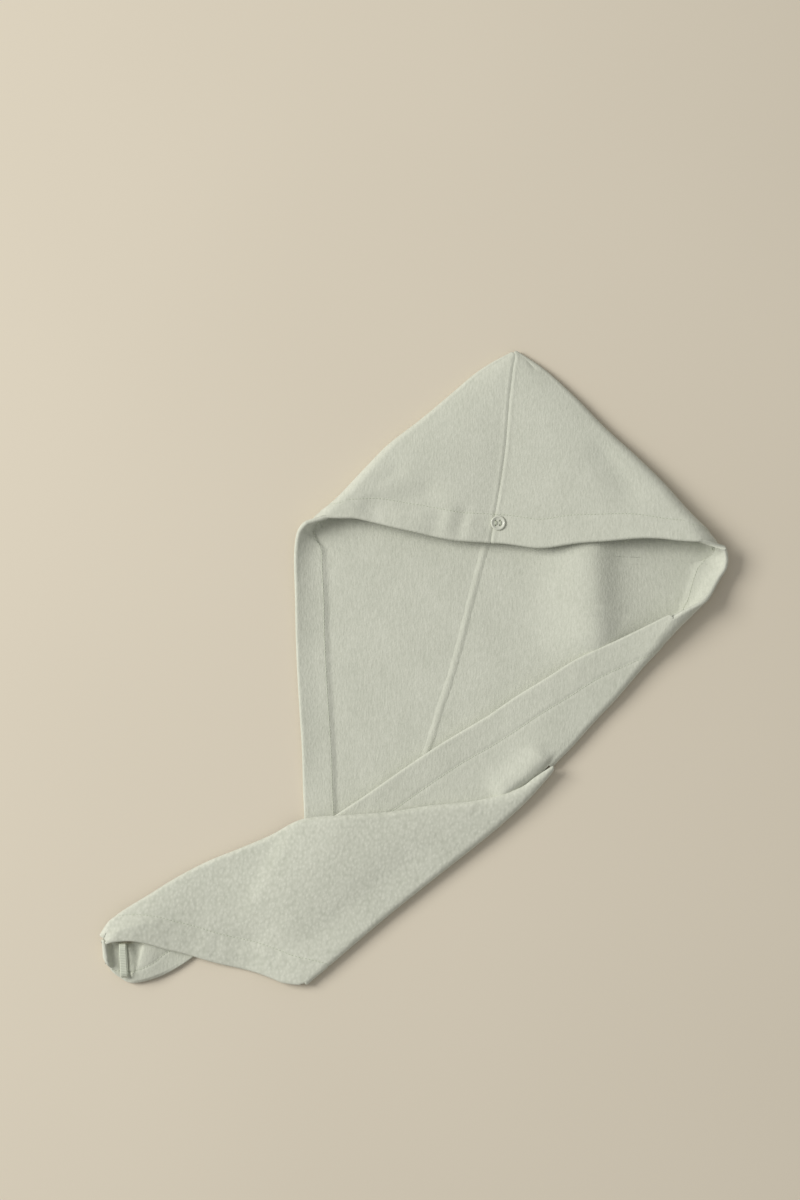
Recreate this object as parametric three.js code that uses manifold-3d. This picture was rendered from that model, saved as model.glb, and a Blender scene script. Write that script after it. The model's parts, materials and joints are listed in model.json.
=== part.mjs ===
// Hair turban towel, laid down with the hood's opening up. Millimetres, +Z up.
// Two mirrored terry panels meet at one seam, which runs from the button end up the hood's front to its
// point and down the middle of the back. The open edge of each panel is a hem of doubled cloth.
import * as THREE from "three";
import { mergeVertices } from "three/addons/utils/BufferGeometryUtils.js";
import Module from "manifold-3d";

const wasm = await Module();
wasm.setup();

// Driving dimensions
const layWidth = 625; // tail tip to the hood's right corner, as laid
const layLength = 638; // lowest corner of the tail to the hood's point, as laid
const clothThickness = 2.6;
const layerGap = 0.4; // air between two layers that lie on each other
const hemWidth = 30;
const hemStep = 2.4; // width over which the hem's second layer starts
const openingLoftLeft = 17; // how high the front stands over the back at the hood's left corner
const openingLoftRight = 22;
const frontLoft = 9; // and at the button end of the front seam
const edgeRoll = 6; // length of cloth that turns down along the tail's upper edge
const seamGap = 0.4; // between the two panels along their seam
const allowanceWidth = 7; // seam allowance inside the hood
const allowanceHeight = 2;
const buttonDiameter = 15;
const buttonThickness = 3;
const buttonHoleDiameter = 2.2;
const buttonHoleSpacing = 4.2;
const threadDiameter = 1.4;
const shankHeight = 1.2;
const loopLength = 34;
const loopHeight = 11;
const loopBandWidth = 7;
const loopBandThickness = 1.4;
const clearance = 0.35;
const foldSkew = 2.2; // how far the cloth runs along the side fold while it turns, in fold radii
const frontCrown = 1.5; // how far the front bulges between its fold and its seam
const bowProfile = 9.5; // brings the widest place of a bow to its own value

// Cells across a panel: seam roll, leaf, start of the hem, fold or hem band, then the folded leaf
const ROLL_CELLS = 2;
const LEAF_CELLS = 6;
const FOLD_CELLS = 6;
const TOP_CELLS = 9;
const FOLD_START = ROLL_CELLS + LEAF_CELLS + 1;
const FOLD_END = FOLD_START + FOLD_CELLS;
const LAST = FOLD_END + TOP_CELLS;
const TURN_ROWS = 4;
const TURN_TAPER = 0.5; // how far the fold under the tail reaches out at its upper end, as a share
const STEPS = 2; // rows of cells for each row of a table
const SEAM_START = 5; // the row of cells at which the seam allowances start, below the point
const LAST_ON_SEAM = 9; // the last section of EDGE_LEFT that ends on the back seam
const JOINED_EDGE_ROWS = LAST_ON_SEAM * STEPS + 1;

// The tables give X and Y in percent of the lay width and length.
// The back seam from the hood's point down to where the flap hides it
const BACK_SEAM = [
  { x: 66.0, y: 98.9 },
  { x: 61.4, y: 69.0 },
  { x: 59.5, y: 62.1 },
  { x: 57.8, y: 55.3 },
  { x: 56.1, y: 49.2 },
  { x: 54.4, y: 44.2 },
  { x: 52.6, y: 38.4 },
  { x: 51.5, y: 35.4 },
];
// Sections of the panels from the hood's point down to the tail. seam, side, front and hem are points of
// the seam, of the outer side and of the far edge. out is the direction in degrees that the side faces.
// lift and rise are shares of the opening's loft and of the front's loft. Layers count the cloth that
// lies below. curl is how far the hem band turns up in degrees, and band is its share of the hem's width.
// skew is how far the cloth still runs along the fold while it turns, as a share of the side fold's.
// bow is how far the section bows out, towards the fold under the tail, in mm.
const HOOD_LEFT = [
  { seamY: 98.9, sideX: 65.4, sideY: 99.3, frontX: 66.2, frontY: 98.9, out: 128, lift: 0.03, rise: 0.08 },
  { seamY: 95.6, sideX: 60.6, sideY: 96.6, frontX: 65.7, frontY: 96.1, out: 130, lift: 0.16, rise: 0.35 },
  { seamY: 91.2, sideX: 55.5, sideY: 92.4, frontX: 65.2, frontY: 91.8, out: 131, lift: 0.3, rise: 0.55 },
  { seamY: 86.2, sideX: 50.4, sideY: 88.2, frontX: 64.8, frontY: 87.1, out: 131, lift: 0.43, rise: 0.7 },
  { seamY: 81.5, sideX: 45.7, sideY: 84.6, frontX: 64.3, frontY: 82.4, out: 131, lift: 0.56, rise: 0.82 },
  { seamY: 77.7, sideX: 41.8, sideY: 80.7, frontX: 63.7, frontY: 78.4, out: 133, lift: 0.7, rise: 0.92 },
  { seamY: 73.8, sideX: 37.6, sideY: 76.3, frontX: 62.9, frontY: 74.0, out: 136, lift: 0.85, rise: 1.0 },
  { seamY: 71.0, sideX: 35.1, sideY: 74.2, frontX: 62.5, frontY: 71.5, out: 138, lift: 0.94, rise: 1.0 },
  { seamY: 69.0, sideX: 33.3, sideY: 72.9, frontX: 62.1, frontY: 69.2, out: 140, lift: 1.0, rise: 1.0 },
];
const HOOD_RIGHT = [
  { seamY: 98.9, sideX: 66.7, sideY: 99.5, frontX: 66.2, frontY: 98.9, out: 48, lift: 0.02, rise: 0.08 },
  { seamY: 95.6, sideX: 71.2, sideY: 96.4, frontX: 65.7, frontY: 96.1, out: 46, lift: 0.13, rise: 0.35 },
  { seamY: 91.2, sideX: 76.0, sideY: 92.0, frontX: 65.2, frontY: 91.8, out: 45, lift: 0.26, rise: 0.55 },
  { seamY: 86.2, sideX: 80.8, sideY: 87.1, frontX: 64.8, frontY: 87.1, out: 44, lift: 0.38, rise: 0.7 },
  { seamY: 81.5, sideX: 85.4, sideY: 82.9, frontX: 64.3, frontY: 82.4, out: 44, lift: 0.5, rise: 0.82 },
  { seamY: 77.7, sideX: 89.9, sideY: 78.5, frontX: 63.7, frontY: 78.4, out: 44, lift: 0.63, rise: 0.92 },
  { seamY: 73.8, sideX: 93.9, sideY: 74.0, frontX: 62.9, frontY: 74.0, out: 43, lift: 0.78, rise: 1.0 },
  { seamY: 71.0, sideX: 96.7, sideY: 71.2, frontX: 62.5, frontY: 71.5, out: 42, lift: 0.9, rise: 1.0 },
  { seamY: 69.0, sideX: 99.0, sideY: 68.8, frontX: 62.1, frontY: 69.2, out: 38, lift: 1.0, rise: 1.0 },
];
const EDGE_LEFT = [
  { seamX: 61.2, seamY: 68.1, sideX: 32.0, sideY: 71.4, out: 156, curl: 110, band: 1, skew: 0.4, bow: 0 },
  { seamX: 60.9, seamY: 67.1, sideX: 31.1, sideY: 70.0, out: 170, curl: 58, band: 1, skew: 0.15, bow: 0 },
  { seamX: 60.5, seamY: 65.6, sideX: 30.8, sideY: 67.8, out: 177, curl: 34, band: 1, skew: 0, bow: 0 },
  { seamX: 60.0, seamY: 63.8, sideX: 30.8, sideY: 65.0, out: 180, curl: 26, band: 1, skew: 0, bow: 0 },
  { seamX: 58.9, seamY: 59.6, sideX: 31.0, sideY: 60.2, out: 180, curl: 18, band: 1, skew: 0, bow: 0 },
  { seamX: 57.8, seamY: 55.3, sideX: 31.1, sideY: 55.5, out: 180, curl: 14, band: 1, skew: 0, bow: 0 },
  { seamX: 56.1, seamY: 49.2, sideX: 31.4, sideY: 48.9, out: 181, curl: 10, band: 1, skew: 0, bow: 0 },
  { seamX: 54.4, seamY: 44.2, sideX: 31.8, sideY: 42.6, out: 181, curl: 10, band: 1, skew: 0, bow: 0 },
  { seamX: 52.6, seamY: 38.4, sideX: 32.2, sideY: 36.7, out: 181, curl: 10, band: 1, skew: 0, bow: 0 },
  { seamX: 51.6, seamY: 35.6, sideX: 32.4, sideY: 31.2, out: 182, curl: 3, band: 1, skew: 0, bow: 0 },
  { seamX: 54.9, seamY: 35.0, sideX: 32.6, sideY: 26.5, out: 182, curl: 2, band: 1, skew: 0, bow: 0 },
  { seamX: 59.7, seamY: 34.6, sideX: 32.6, sideY: 21.0, out: 186, curl: 2, band: 1.02, skew: 0, bow: 0.5 },
  { seamX: 64.8, seamY: 34.15, sideX: 32.7, sideY: 13.9, out: 194, curl: 2, band: 1.06, skew: 0, bow: 1.5 },
  { seamX: 68.6, seamY: 33.8, sideX: 32.7, sideY: 7.7, out: 206, curl: 2, band: 1.16, skew: 0, bow: 3.5 },
  { seamX: 71.0, seamY: 33.5, sideX: 32.6, sideY: 0.9, out: 221, curl: 2, band: 1.32, skew: 0, bow: 5.5 },
];
// The tail's face: inward is the direction in degrees from its upper edge into the cloth, and roll is
// how far that edge turns down in degrees.
const TAIL_FACE = [
  { seamX: 71.9, seamY: 34.1, sideX: 32.6, sideY: 0.9, out: 221, inward: 222, band: 1.32, curl: 4, roll: 5, seamLayer: 4.2, midLayer: 3.2, sideLayer: 2.8, bow: 5.5 },
  { seamX: 69.3, seamY: 32.5, sideX: 32.0, sideY: 0.7, out: 229, inward: 246, band: 1.26, curl: 4, roll: 35, seamLayer: 4.2, midLayer: 3.2, sideLayer: 2.75, bow: 2.8 },
  { seamX: 66.2, seamY: 30.6, sideX: 31.4, sideY: 0.6, out: 236, inward: 273, band: 1.2, curl: 4, roll: 60, seamLayer: 4.2, midLayer: 3.25, sideLayer: 2.7, bow: 0.6 },
  { seamX: 59.5, seamY: 28.8, sideX: 29.1, sideY: 0.9, out: 248, inward: 276, band: 1.06, curl: 4, roll: 90, seamLayer: 4.3, midLayer: 3.4, sideLayer: 2.4, bow: 1.0 },
  { seamX: 52.5, seamY: 28.1, sideX: 27.5, sideY: 1.5, out: 254, inward: 274, band: 1.0, curl: 4, roll: 95, seamLayer: 4.5, midLayer: 4.2, sideLayer: 2.1, bow: 0.3 },
  { seamX: 45.9, seamY: 27.1, sideX: 25.6, sideY: 2.2, out: 257, inward: 273, band: 1.0, curl: 4, roll: 95, seamLayer: 4.8, midLayer: 4.6, sideLayer: 1.8, bow: 0 },
  { seamX: 39.0, seamY: 26.6, sideX: 23.5, sideY: 2.8, out: 256, inward: 273, band: 1.0, curl: 4, roll: 90, seamLayer: 5.2, midLayer: 4.6, sideLayer: 1.3, bow: 0 },
  { seamX: 32.2, seamY: 26.0, sideX: 21.3, sideY: 3.3, out: 256, inward: 283, band: 1.0, curl: 4, roll: 100, seamLayer: 4.6, midLayer: 3.95, sideLayer: 1.35, bow: 0 },
  { seamX: 27.0, seamY: 23.4, sideX: 19.0, sideY: 3.8, out: 257, inward: 298, band: 1.0, curl: 4, roll: 110, seamLayer: 3.2, midLayer: 2.8, sideLayer: 1.8, bow: 0 },
  { seamX: 21.6, seamY: 21.2, sideX: 16.5, sideY: 4.5, out: 256, inward: 300, band: 1.0, curl: 4, roll: 115, seamLayer: 2.7, midLayer: 2.5, sideLayer: 2.4, bow: 0 },
  { seamX: 17.1, seamY: 19.4, sideX: 13.9, sideY: 5.3, out: 254, inward: 303, band: 0.95, curl: 4, roll: 115, seamLayer: 2.7, midLayer: 2.7, sideLayer: 2.8, bow: 0 },
  { seamX: 12.3, seamY: 17.0, sideX: 11.0, sideY: 6.0, out: 256, inward: 307, band: 0.85, curl: 6, roll: 115, seamLayer: 2.9, midLayer: 3.4, sideLayer: 3.8, bow: 0 },
  { seamX: 7.5, seamY: 14.1, sideX: 8.2, sideY: 6.8, out: 258, inward: 308, band: 0.7, curl: 10, roll: 115, seamLayer: 3.4, midLayer: 4.3, sideLayer: 5.0, bow: 0 },
  { seamX: 4.0, seamY: 12.0, sideX: 5.4, sideY: 7.3, out: 262, inward: 312, band: 0.5, curl: 14, roll: 115, seamLayer: 4.2, midLayer: 5.0, sideLayer: 5.8, bow: 0 },
  { seamX: 1.6, seamY: 10.2, sideX: 2.7, sideY: 7.2, out: 262, inward: 322, band: 0.3, curl: 18, roll: 110, seamLayer: 4.8, midLayer: 5.2, sideLayer: 5.8, bow: 0 },
  { seamX: 0.2, seamY: 8.2, sideX: 1.3, sideY: 6.8, out: 250, inward: 332, band: 0.08, curl: 18, roll: 60, seamLayer: 4.6, midLayer: 4.8, sideLayer: 5.0, bow: 0 },
];
const EDGE_RIGHT = [
  { seamY: 67.9, sideX: 99.7, sideY: 67.9, out: 18, curl: 82, band: 1, skew: 0.15, bow: 0 },
  { seamY: 66.5, sideX: 100.0, sideY: 66.5, out: 2, curl: 66, band: 1, skew: 0.05, bow: 0 },
  { seamY: 64.9, sideX: 99.7, sideY: 64.9, out: -18, curl: 62, band: 1, skew: 0, bow: 0 },
  { seamY: 63.0, sideX: 98.6, sideY: 63.2, out: -29, curl: 60, band: 1, skew: 0, bow: 0 },
  { seamY: 61.0, sideX: 96.9, sideY: 60.3, out: -36, curl: 82, band: 1, skew: 0, bow: 0 },
  { seamY: 59.1, sideX: 94.6, sideY: 57.9, out: -42, curl: 150, band: 1, skew: 0, bow: 0 },
];
// The diagonal flap, and its run on under the tail's face to the tip
const FLAP = [
  { seamY: 57.8, sideX: 92.5, sideY: 55.9, hemX: 90.4, hemY: 57.45, out: -43, sideLayer: 7.3, hemLayer: 7.0 },
  { seamY: 55.8, sideX: 89.4, sideY: 52.6, hemX: 86.2, hemY: 55.4, out: -43, sideLayer: 5.6, hemLayer: 5.4 },
  { seamY: 53.9, sideX: 86.7, sideY: 49.8, hemX: 82.4, hemY: 53.6, out: -43, sideLayer: 4.2, hemLayer: 4.3 },
  { seamY: 51.3, sideX: 82.6, sideY: 45.1, hemX: 76.0, hemY: 50.7, out: -43, sideLayer: 3.5, hemLayer: 3.8 },
  { seamY: 47.2, sideX: 78.9, sideY: 41.3, hemX: 71.4, hemY: 47.9, out: -43, sideLayer: 3.0, hemLayer: 3.4 },
  { seamY: 41.8, sideX: 75.2, sideY: 37.3, hemX: 66.4, hemY: 44.9, out: -43, sideLayer: 2.8, hemLayer: 3.0 },
  { seamY: 37.9, sideX: 73.1, sideY: 35.2, hemX: 63.7, hemY: 43.1, out: -43, sideLayer: 2.8, hemLayer: 2.8 },
  { seamY: 35.6, sideX: 71.9, sideY: 33.9, hemX: 61.8, hemY: 41.8, out: -43, sideLayer: 2.8, hemLayer: 2.7 },
];
const UNDER_TAIL = [
  { sideX: 68.4, sideY: 31.4, hemX: 58.7, hemY: 40.0, sideLayer: 2.2, midLayer: 2.0, hemLayer: 2.7 },
  { sideX: 65.0, sideY: 28.7, hemX: 53.9, hemY: 37.2, sideLayer: 1.9, midLayer: 2.0, hemLayer: 2.7 },
  { sideX: 59.2, sideY: 24.6, hemX: 47.8, hemY: 33.2, sideLayer: 1.8, midLayer: 2.0, hemLayer: 2.7 },
  { sideX: 54.1, sideY: 20.7, hemX: 42.7, hemY: 29.7, sideLayer: 1.8, midLayer: 2.1, hemLayer: 2.8 },
  { sideX: 48.9, sideY: 16.9, hemX: 37.9, hemY: 26.6, sideLayer: 1.8, midLayer: 2.5, hemLayer: 3.0 },
  { sideX: 43.0, sideY: 14.0, hemX: 32.0, hemY: 22.9, sideLayer: 1.9, midLayer: 2.8, hemLayer: 3.3 },
  { sideX: 36.3, sideY: 12.3, hemX: 25.8, hemY: 18.6, sideLayer: 2.5, midLayer: 2.6, hemLayer: 1.5 },
  { sideX: 29.3, sideY: 11.6, hemX: 20.4, hemY: 15.0, sideLayer: 1.3, midLayer: 1.05, hemLayer: 1.05 },
  { sideX: 22.6, sideY: 10.4, hemX: 15.4, hemY: 12.0, sideLayer: 0.2, midLayer: 0.75, hemLayer: 1.0 },
  { sideX: 17.4, sideY: 6.9, hemX: 11.2, hemY: 9.6, sideLayer: 0.3, midLayer: 0.75, hemLayer: 1.0 },
  { sideX: 13.6, sideY: 3.9, hemX: 8.2, hemY: 8.2, sideLayer: 0.7, midLayer: 0.95, hemLayer: 1.2 },
  { sideX: 9.4, sideY: 1.7, hemX: 6.4, hemY: 7.2, sideLayer: 1.0, midLayer: 1.1, hemLayer: 1.3 },
  { sideX: 5.4, sideY: 0.8, hemX: 4.8, hemY: 6.6, sideLayer: 0.95, midLayer: 0.9, hemLayer: 1.0 },
  { sideX: 3.2, sideY: 1.7, hemX: 3.2, hemY: 6.8, sideLayer: 1.0, midLayer: 0.85, hemLayer: 0.95 },
  { sideX: 1.7, sideY: 3.2, hemX: 1.7, hemY: 7.0, sideLayer: 1.5, midLayer: 1.2, hemLayer: 1.4 },
  { sideX: 0.9, sideY: 4.6, hemX: 0.7, hemY: 7.3, sideLayer: 2.3, midLayer: 2.0, hemLayer: 2.3 },
];
// How the front hem bows along its edge: where, over what share of its length, and how far in percent
// of the lay length
const HEM_BOWS = {
  left: [
    { at: 0.18, spread: 0.2, rise: 0.6 },
    { at: 0.75, spread: 0.18, rise: -0.45 },
  ],
  right: [
    { at: 0.26, spread: 0.17, rise: 0.6 },
    { at: 0.76, spread: 0.13, rise: -0.85 },
  ],
};
// Folds and dents in the cloth: a ridge from one point to another, in percent of the lay, with its
// width in percent of the lay width and its height in cloth thicknesses
const RELIEFS = [
  { leaf: "back", fromX: 77.0, fromY: 68, toX: 77.0, toY: 53, width: 2.6, height: 1.6 },
  { leaf: "flap", fromX: 71.4, fromY: 39.4, toX: 62.8, toY: 31.2, width: 2.2, height: 1.6 },
  { leaf: "front", fromX: 57.4, fromY: 75, toX: 57.4, toY: 70, width: 1.5, height: -1.2 },
  { leaf: "front", fromX: 53.1, fromY: 74, toX: 53.1, toY: 69, width: 1.6, height: -1.0 },
  { leaf: "front", fromX: 80.5, fromY: 82.5, toX: 84, toY: 77, width: 2.4, height: -1.1 },
];

// The middles of the button and of the loop, and the direction in degrees in which the loop lies. The
// loop lies on the lower lip, which is there a share of a layer above the ground.
const BUTTON = { x: 63.3, y: 72.1 };
const LOOP = { x: 4.0, y: 4.2, turn: 94, layer: 0.9 };

const radians = THREE.MathUtils.degToRad;
const lerp = THREE.MathUtils.lerp;
const clamp = THREE.MathUtils.clamp;

function percentX(x) {
  return (x / 100 - 0.5) * layWidth;
}

function percentY(y) {
  return (y / 100 - 0.5) * layLength;
}

function plan(x, y) {
  return new THREE.Vector3(percentX(x), percentY(y), 0);
}

// A point of the back seam: on its line as far as that runs, and past it where the section says
function seamPoint(section) {
  const last = BACK_SEAM[BACK_SEAM.length - 1];
  if (section.seamY < last.y) return plan(section.seamX, section.seamY);
  const k = BACK_SEAM.findIndex((point) => point.y <= section.seamY);
  const [above, below] = [BACK_SEAM[Math.max(k - 1, 0)], BACK_SEAM[Math.max(k, 1)]];
  const share = (above.y - section.seamY) / (above.y - below.y);
  return plan(lerp(above.x, below.x, share), section.seamY);
}

function heading(degrees) {
  return new THREE.Vector3(Math.cos(radians(degrees)), Math.sin(radians(degrees)), 0);
}

// Height of the middle of a cloth that lies on a number of other layers
function level(layers) {
  return clothThickness / 2 + layers * (clothThickness + layerGap);
}

// Smooth values between the rows of a table, at row number u
function between(table, u) {
  const i = clamp(Math.floor(u), 0, table.length - 2);
  const t = u - i;
  const rows = [i - 1, i, i + 1, i + 2].map((k) => table[clamp(k, 0, table.length - 1)]);
  const section = {};
  for (const key of Object.keys(table[i])) {
    const [a, b, c, d] = rows.map((row) => row[key]);
    const slope = (c - a) / 2;
    const nextSlope = (d - b) / 2;
    section[key] =
      (2 * t ** 3 - 3 * t ** 2 + 1) * b +
      (t ** 3 - 2 * t ** 2 + t) * slope +
      (-2 * t ** 3 + 3 * t ** 2) * c +
      (t ** 3 - t ** 2) * nextSlope;
  }
  return section;
}

function sectionsOf(table, steps) {
  const sections = [];
  for (let k = 0; k <= (table.length - 1) * steps; k += 1) sections.push(between(table, k / steps));
  return sections;
}

function relief(leaf, point) {
  let height = 0;
  for (const ridge of RELIEFS) {
    if (ridge.leaf !== leaf) continue;
    const from = plan(ridge.fromX, ridge.fromY);
    const run = plan(ridge.toX, ridge.toY).sub(from);
    const offset = new THREE.Vector3(point.x, point.y, 0).sub(from);
    const share = clamp(offset.dot(run) / run.lengthSq(), 0, 1);
    const distance = offset.addScaledVector(run, -share).length();
    const width = (ridge.width / 100) * layWidth;
    height += ridge.height * clothThickness * Math.exp(-((distance / width) ** 2));
  }
  return height;
}

// The stretch from the seam to the start of the fold or hem band, in plan, with its heights
function addLeaf(row, from, to, heights, leaf) {
  const bandStart = 1 - hemStep / from.distanceTo(to);
  const cells = ROLL_CELLS + LEAF_CELLS;
  for (let j = 0; j <= cells; j += 1) {
    row.push(leafPoint(from, to, (j / cells) * bandStart, heights, leaf));
  }
  row.push(leafPoint(from, to, 1, heights, leaf));
}

function leafPoint(from, to, share, heights, leaf) {
  const point = from.clone().lerp(to, share);
  const [start, middle, end] = heights;
  const crown = middle - (start + end) / 2;
  const edge = Math.min(1, 8 * share * (1 - share));
  point.z = lerp(start, end, share) + crown * 4 * share * (1 - share) + relief(leaf, point) * edge;
  return point;
}

// Moves the cells of a section out towards the fold under the tail, most near its upper end
function bowOut(row, count, bow) {
  const first = row[0].clone();
  const span = row[count - 1].clone().sub(first).setZ(0);
  const length = span.length();
  const along = span.divideScalar(-length);
  const out = new THREE.Vector3(along.y, -along.x, 0);
  for (let j = 1; j < count; j += 1) {
    const share = -row[j].clone().sub(first).dot(along) / length;
    row[j].addScaledVector(out, bow * bowProfile * share * (1 - share) ** 3);
  }
}

// The arc of a fold or of a hem band that curls up from its start. skew moves the cloth along the fold.
function addArc(row, start, out, radius, angle, skew) {
  const along = new THREE.Vector3(-out.y, out.x, 0);
  for (let j = 1; j <= FOLD_CELLS; j += 1) {
    const turn = (angle * j) / FOLD_CELLS;
    const point = start.clone();
    point.addScaledVector(out, radius * Math.sin(turn));
    point.addScaledVector(along, (skew * j) / FOLD_CELLS);
    point.z += radius * (1 - Math.cos(turn));
    row.push(point);
  }
}

// How far inside the silhouette a curl of this radius and angle starts
function curlReach(radius, angle) {
  return (radius + clothThickness / 2) * Math.sin(Math.min(angle, Math.PI / 2));
}

// A section of the hood: back leaf, fold at the side, front leaf to the front seam
function hoodRow(s, side, loft) {
  const out = heading(s.out);
  const bottom = level(0);
  const top = level(1) + s.lift * loft;
  const radius = (top - bottom) / 2;
  const skew = -side * foldSkew * radius;
  const along = new THREE.Vector3(-out.y, out.x, 0);
  const start = plan(s.sideX, s.sideY).addScaledVector(out, -curlReach(radius, Math.PI));
  start.addScaledVector(along, -skew / 2);
  const seam = seamPoint(s);
  seam.x -= side * (seamGap / 2);
  const row = [];
  addLeaf(row, seam, start, [bottom, bottom, bottom], "back");
  start.z = bottom;
  addArc(row, start, out, radius, Math.PI, skew);
  const front = plan(s.frontX, s.frontY);
  front.x -= side * (seamGap / 2);
  const frontHeight = level(1) + s.rise * frontLoft;
  const foldEnd = row[FOLD_END].clone();
  const heights = [top, (top + frontHeight) / 2 + s.rise * frontCrown, frontHeight];
  const bows = side > 0 ? HEM_BOWS.left : HEM_BOWS.right;
  for (let j = 1; j <= TOP_CELLS; j += 1) {
    const share = j / TOP_CELLS;
    const point = leafPoint(foldEnd, front, share, heights, "front");
    const ease = Math.min(1, 6 * share, 12 * (1 - share));
    for (const bow of bows) {
      const swell = Math.exp(-(((share - bow.at) / bow.spread) ** 2));
      point.y += (bow.rise / 100) * layLength * swell * ease * s.lift ** 2;
    }
    row.push(point);
  }
  return row;
}

// A section whose hem is the outer edge
function edgeRow(s, side) {
  const out = heading(s.out);
  const arc = s.band * (hemWidth - hemStep / 2);
  const angle = radians(s.curl);
  const radius = arc / angle;
  const seam = seamPoint(s);
  seam.x -= side * (seamGap / 2);
  const skew = -side * foldSkew * radius * s.skew;
  const along = new THREE.Vector3(-out.y, out.x, 0);
  const start = plan(s.sideX, s.sideY).addScaledVector(out, -curlReach(radius, angle));
  start.addScaledVector(along, -skew / 2);
  const row = [];
  addLeaf(row, seam, start, [level(0), level(0), level(0)], "back");
  bowOut(row, row.length, s.bow);
  start.z = level(0);
  addArc(row, start, out, radius, angle, skew);
  return row;
}

// A section of the tail's face, whose upper edge turns down
function faceRow(s) {
  const inward = heading(s.inward);
  const rollAngle = radians(s.roll);
  const rollRadius = edgeRoll / rollAngle;
  const rim = plan(s.seamX, s.seamY);
  const rollEnd = rim.clone().addScaledVector(inward, curlReach(rollRadius, rollAngle));
  const heights = [level(s.seamLayer), level(s.midLayer), level(s.sideLayer)];
  const row = [];
  for (let j = 0; j < ROLL_CELLS; j += 1) {
    const turn = rollAngle * (1 - j / ROLL_CELLS);
    const point = rollEnd.clone().addScaledVector(inward, -rollRadius * Math.sin(turn));
    point.z = heights[0] - rollRadius * (1 - Math.cos(turn));
    row.push(point);
  }
  const out = heading(s.out);
  const arc = s.band * (hemWidth - hemStep / 2);
  const angle = radians(s.curl);
  const radius = arc / angle;
  const start = plan(s.sideX, s.sideY).addScaledVector(out, -curlReach(radius, angle));
  const length = rollEnd.distanceTo(start);
  const bandStart = 1 - Math.min(0.5, hemStep / length);
  for (let j = 0; j <= LEAF_CELLS; j += 1) {
    row.push(leafPoint(rollEnd, start, (j / LEAF_CELLS) * bandStart, heights, "face"));
  }
  row.push(leafPoint(rollEnd, start, 1, heights, "face"));
  bowOut(row, row.length, s.bow);
  start.z = heights[2];
  for (let j = 1; j <= FOLD_CELLS; j += 1) {
    const turn = (angle * j) / FOLD_CELLS;
    const point = start.clone().addScaledVector(out, radius * Math.sin(turn));
    point.z = heights[2] - radius * (1 - Math.cos(turn));
    row.push(point);
  }
  return row;
}

// Cells of a flap from its fold to its hem: the last ones are the hem band at its own width
function flapLeaf(from, hem, heights, leaf) {
  const points = [];
  const length = from.distanceTo(hem);
  const band = Math.min(hemWidth - hemStep / 2, length * 0.5);
  const marks = [band + hemStep, band, band * 0.66, band * 0.33, 0];
  const plainCells = TOP_CELLS - marks.length + 1;
  for (let j = 1; j <= TOP_CELLS; j += 1) {
    const distance =
      j < plainCells ? lerp(length, marks[0], j / plainCells) : marks[j - plainCells];
    points.push(leafPoint(from, hem, 1 - distance / length, heights, leaf));
  }
  return points;
}

// A section with the side folded over inwards as the flap
function flapRow(s, side) {
  const out = heading(s.out);
  const top = level(s.sideLayer);
  const radius = (top - level(0)) / 2;
  const start = plan(s.sideX, s.sideY).addScaledVector(out, -curlReach(radius, Math.PI));
  const seam = seamPoint(s);
  seam.x -= side * (seamGap / 2);
  const row = [];
  addLeaf(row, seam, start, [level(0), level(0), level(0)], "back");
  start.z = level(0);
  addArc(row, start, out, radius, Math.PI, 0);
  const hemHeight = level(s.hemLayer);
  const hem = plan(s.hemX, s.hemY);
  row.push(...flapLeaf(row[FOLD_END].clone(), hem, [top, (top + hemHeight) / 2, hemHeight], "flap"));
  return row;
}

// A section of the flap's run under the tail's face: only the cells past the fold
function underRow(s) {
  const row = new Array(FOLD_END).fill(null);
  const heights = [level(s.sideLayer), level(s.midLayer), level(s.hemLayer)];
  const side = plan(s.sideX, s.sideY);
  row.push(leafPoint(side, plan(s.hemX, s.hemY), 0, heights, "under"));
  row.push(...flapLeaf(side, plan(s.hemX, s.hemY), heights, "under"));
  return row;
}

// The rows that carry the cloth over the fold under the tail, from the last flat row to the face
function turnRows(lower, upper) {
  const along = lower[0].clone().sub(lower[FOLD_END]).setZ(0).normalize();
  const out = new THREE.Vector3(along.y, -along.x, 0);
  const rows = [];
  for (let k = 1; k < TURN_ROWS; k += 1) {
    const turn = (Math.PI * k) / TURN_ROWS;
    rows.push(
      lower.map((point, j) => {
        const radius = (upper[j].z - point.z) / 2;
        const moved = point.clone().lerp(upper[j], k / TURN_ROWS);
        moved.z = point.z + radius * (1 - Math.cos(turn));
        const reach = radius * Math.min(1, TURN_TAPER + (4 * j) / FOLD_END);
        return moved.addScaledVector(out, reach * Math.sin(turn));
      }),
    );
  }
  return rows;
}

// Share of the hem's second layer at each point, from its distance to the open edge
function hemShares(rows, hoodRows) {
  return rows.map((row, i) =>
    row.map((point, j) => {
      if (!point) return 0;
      let alongRow = 0;
      const inHood = i < hoodRows;
      const last = inHood ? FOLD_END : row.length - 1;
      for (let k = j; k < last; k += 1) alongRow += row[k].distanceTo(row[k + 1]);
      let downColumn = 0;
      const lastRow = inHood ? hoodRows - 1 : i;
      for (let k = i; k < lastRow; k += 1) downColumn += rows[k][j].distanceTo(rows[k + 1][j]);
      const distance = Math.hypot(alongRow, downColumn);
      return clamp((hemWidth + hemStep / 2 - distance) / hemStep, 0, 1);
    }),
  );
}

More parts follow.
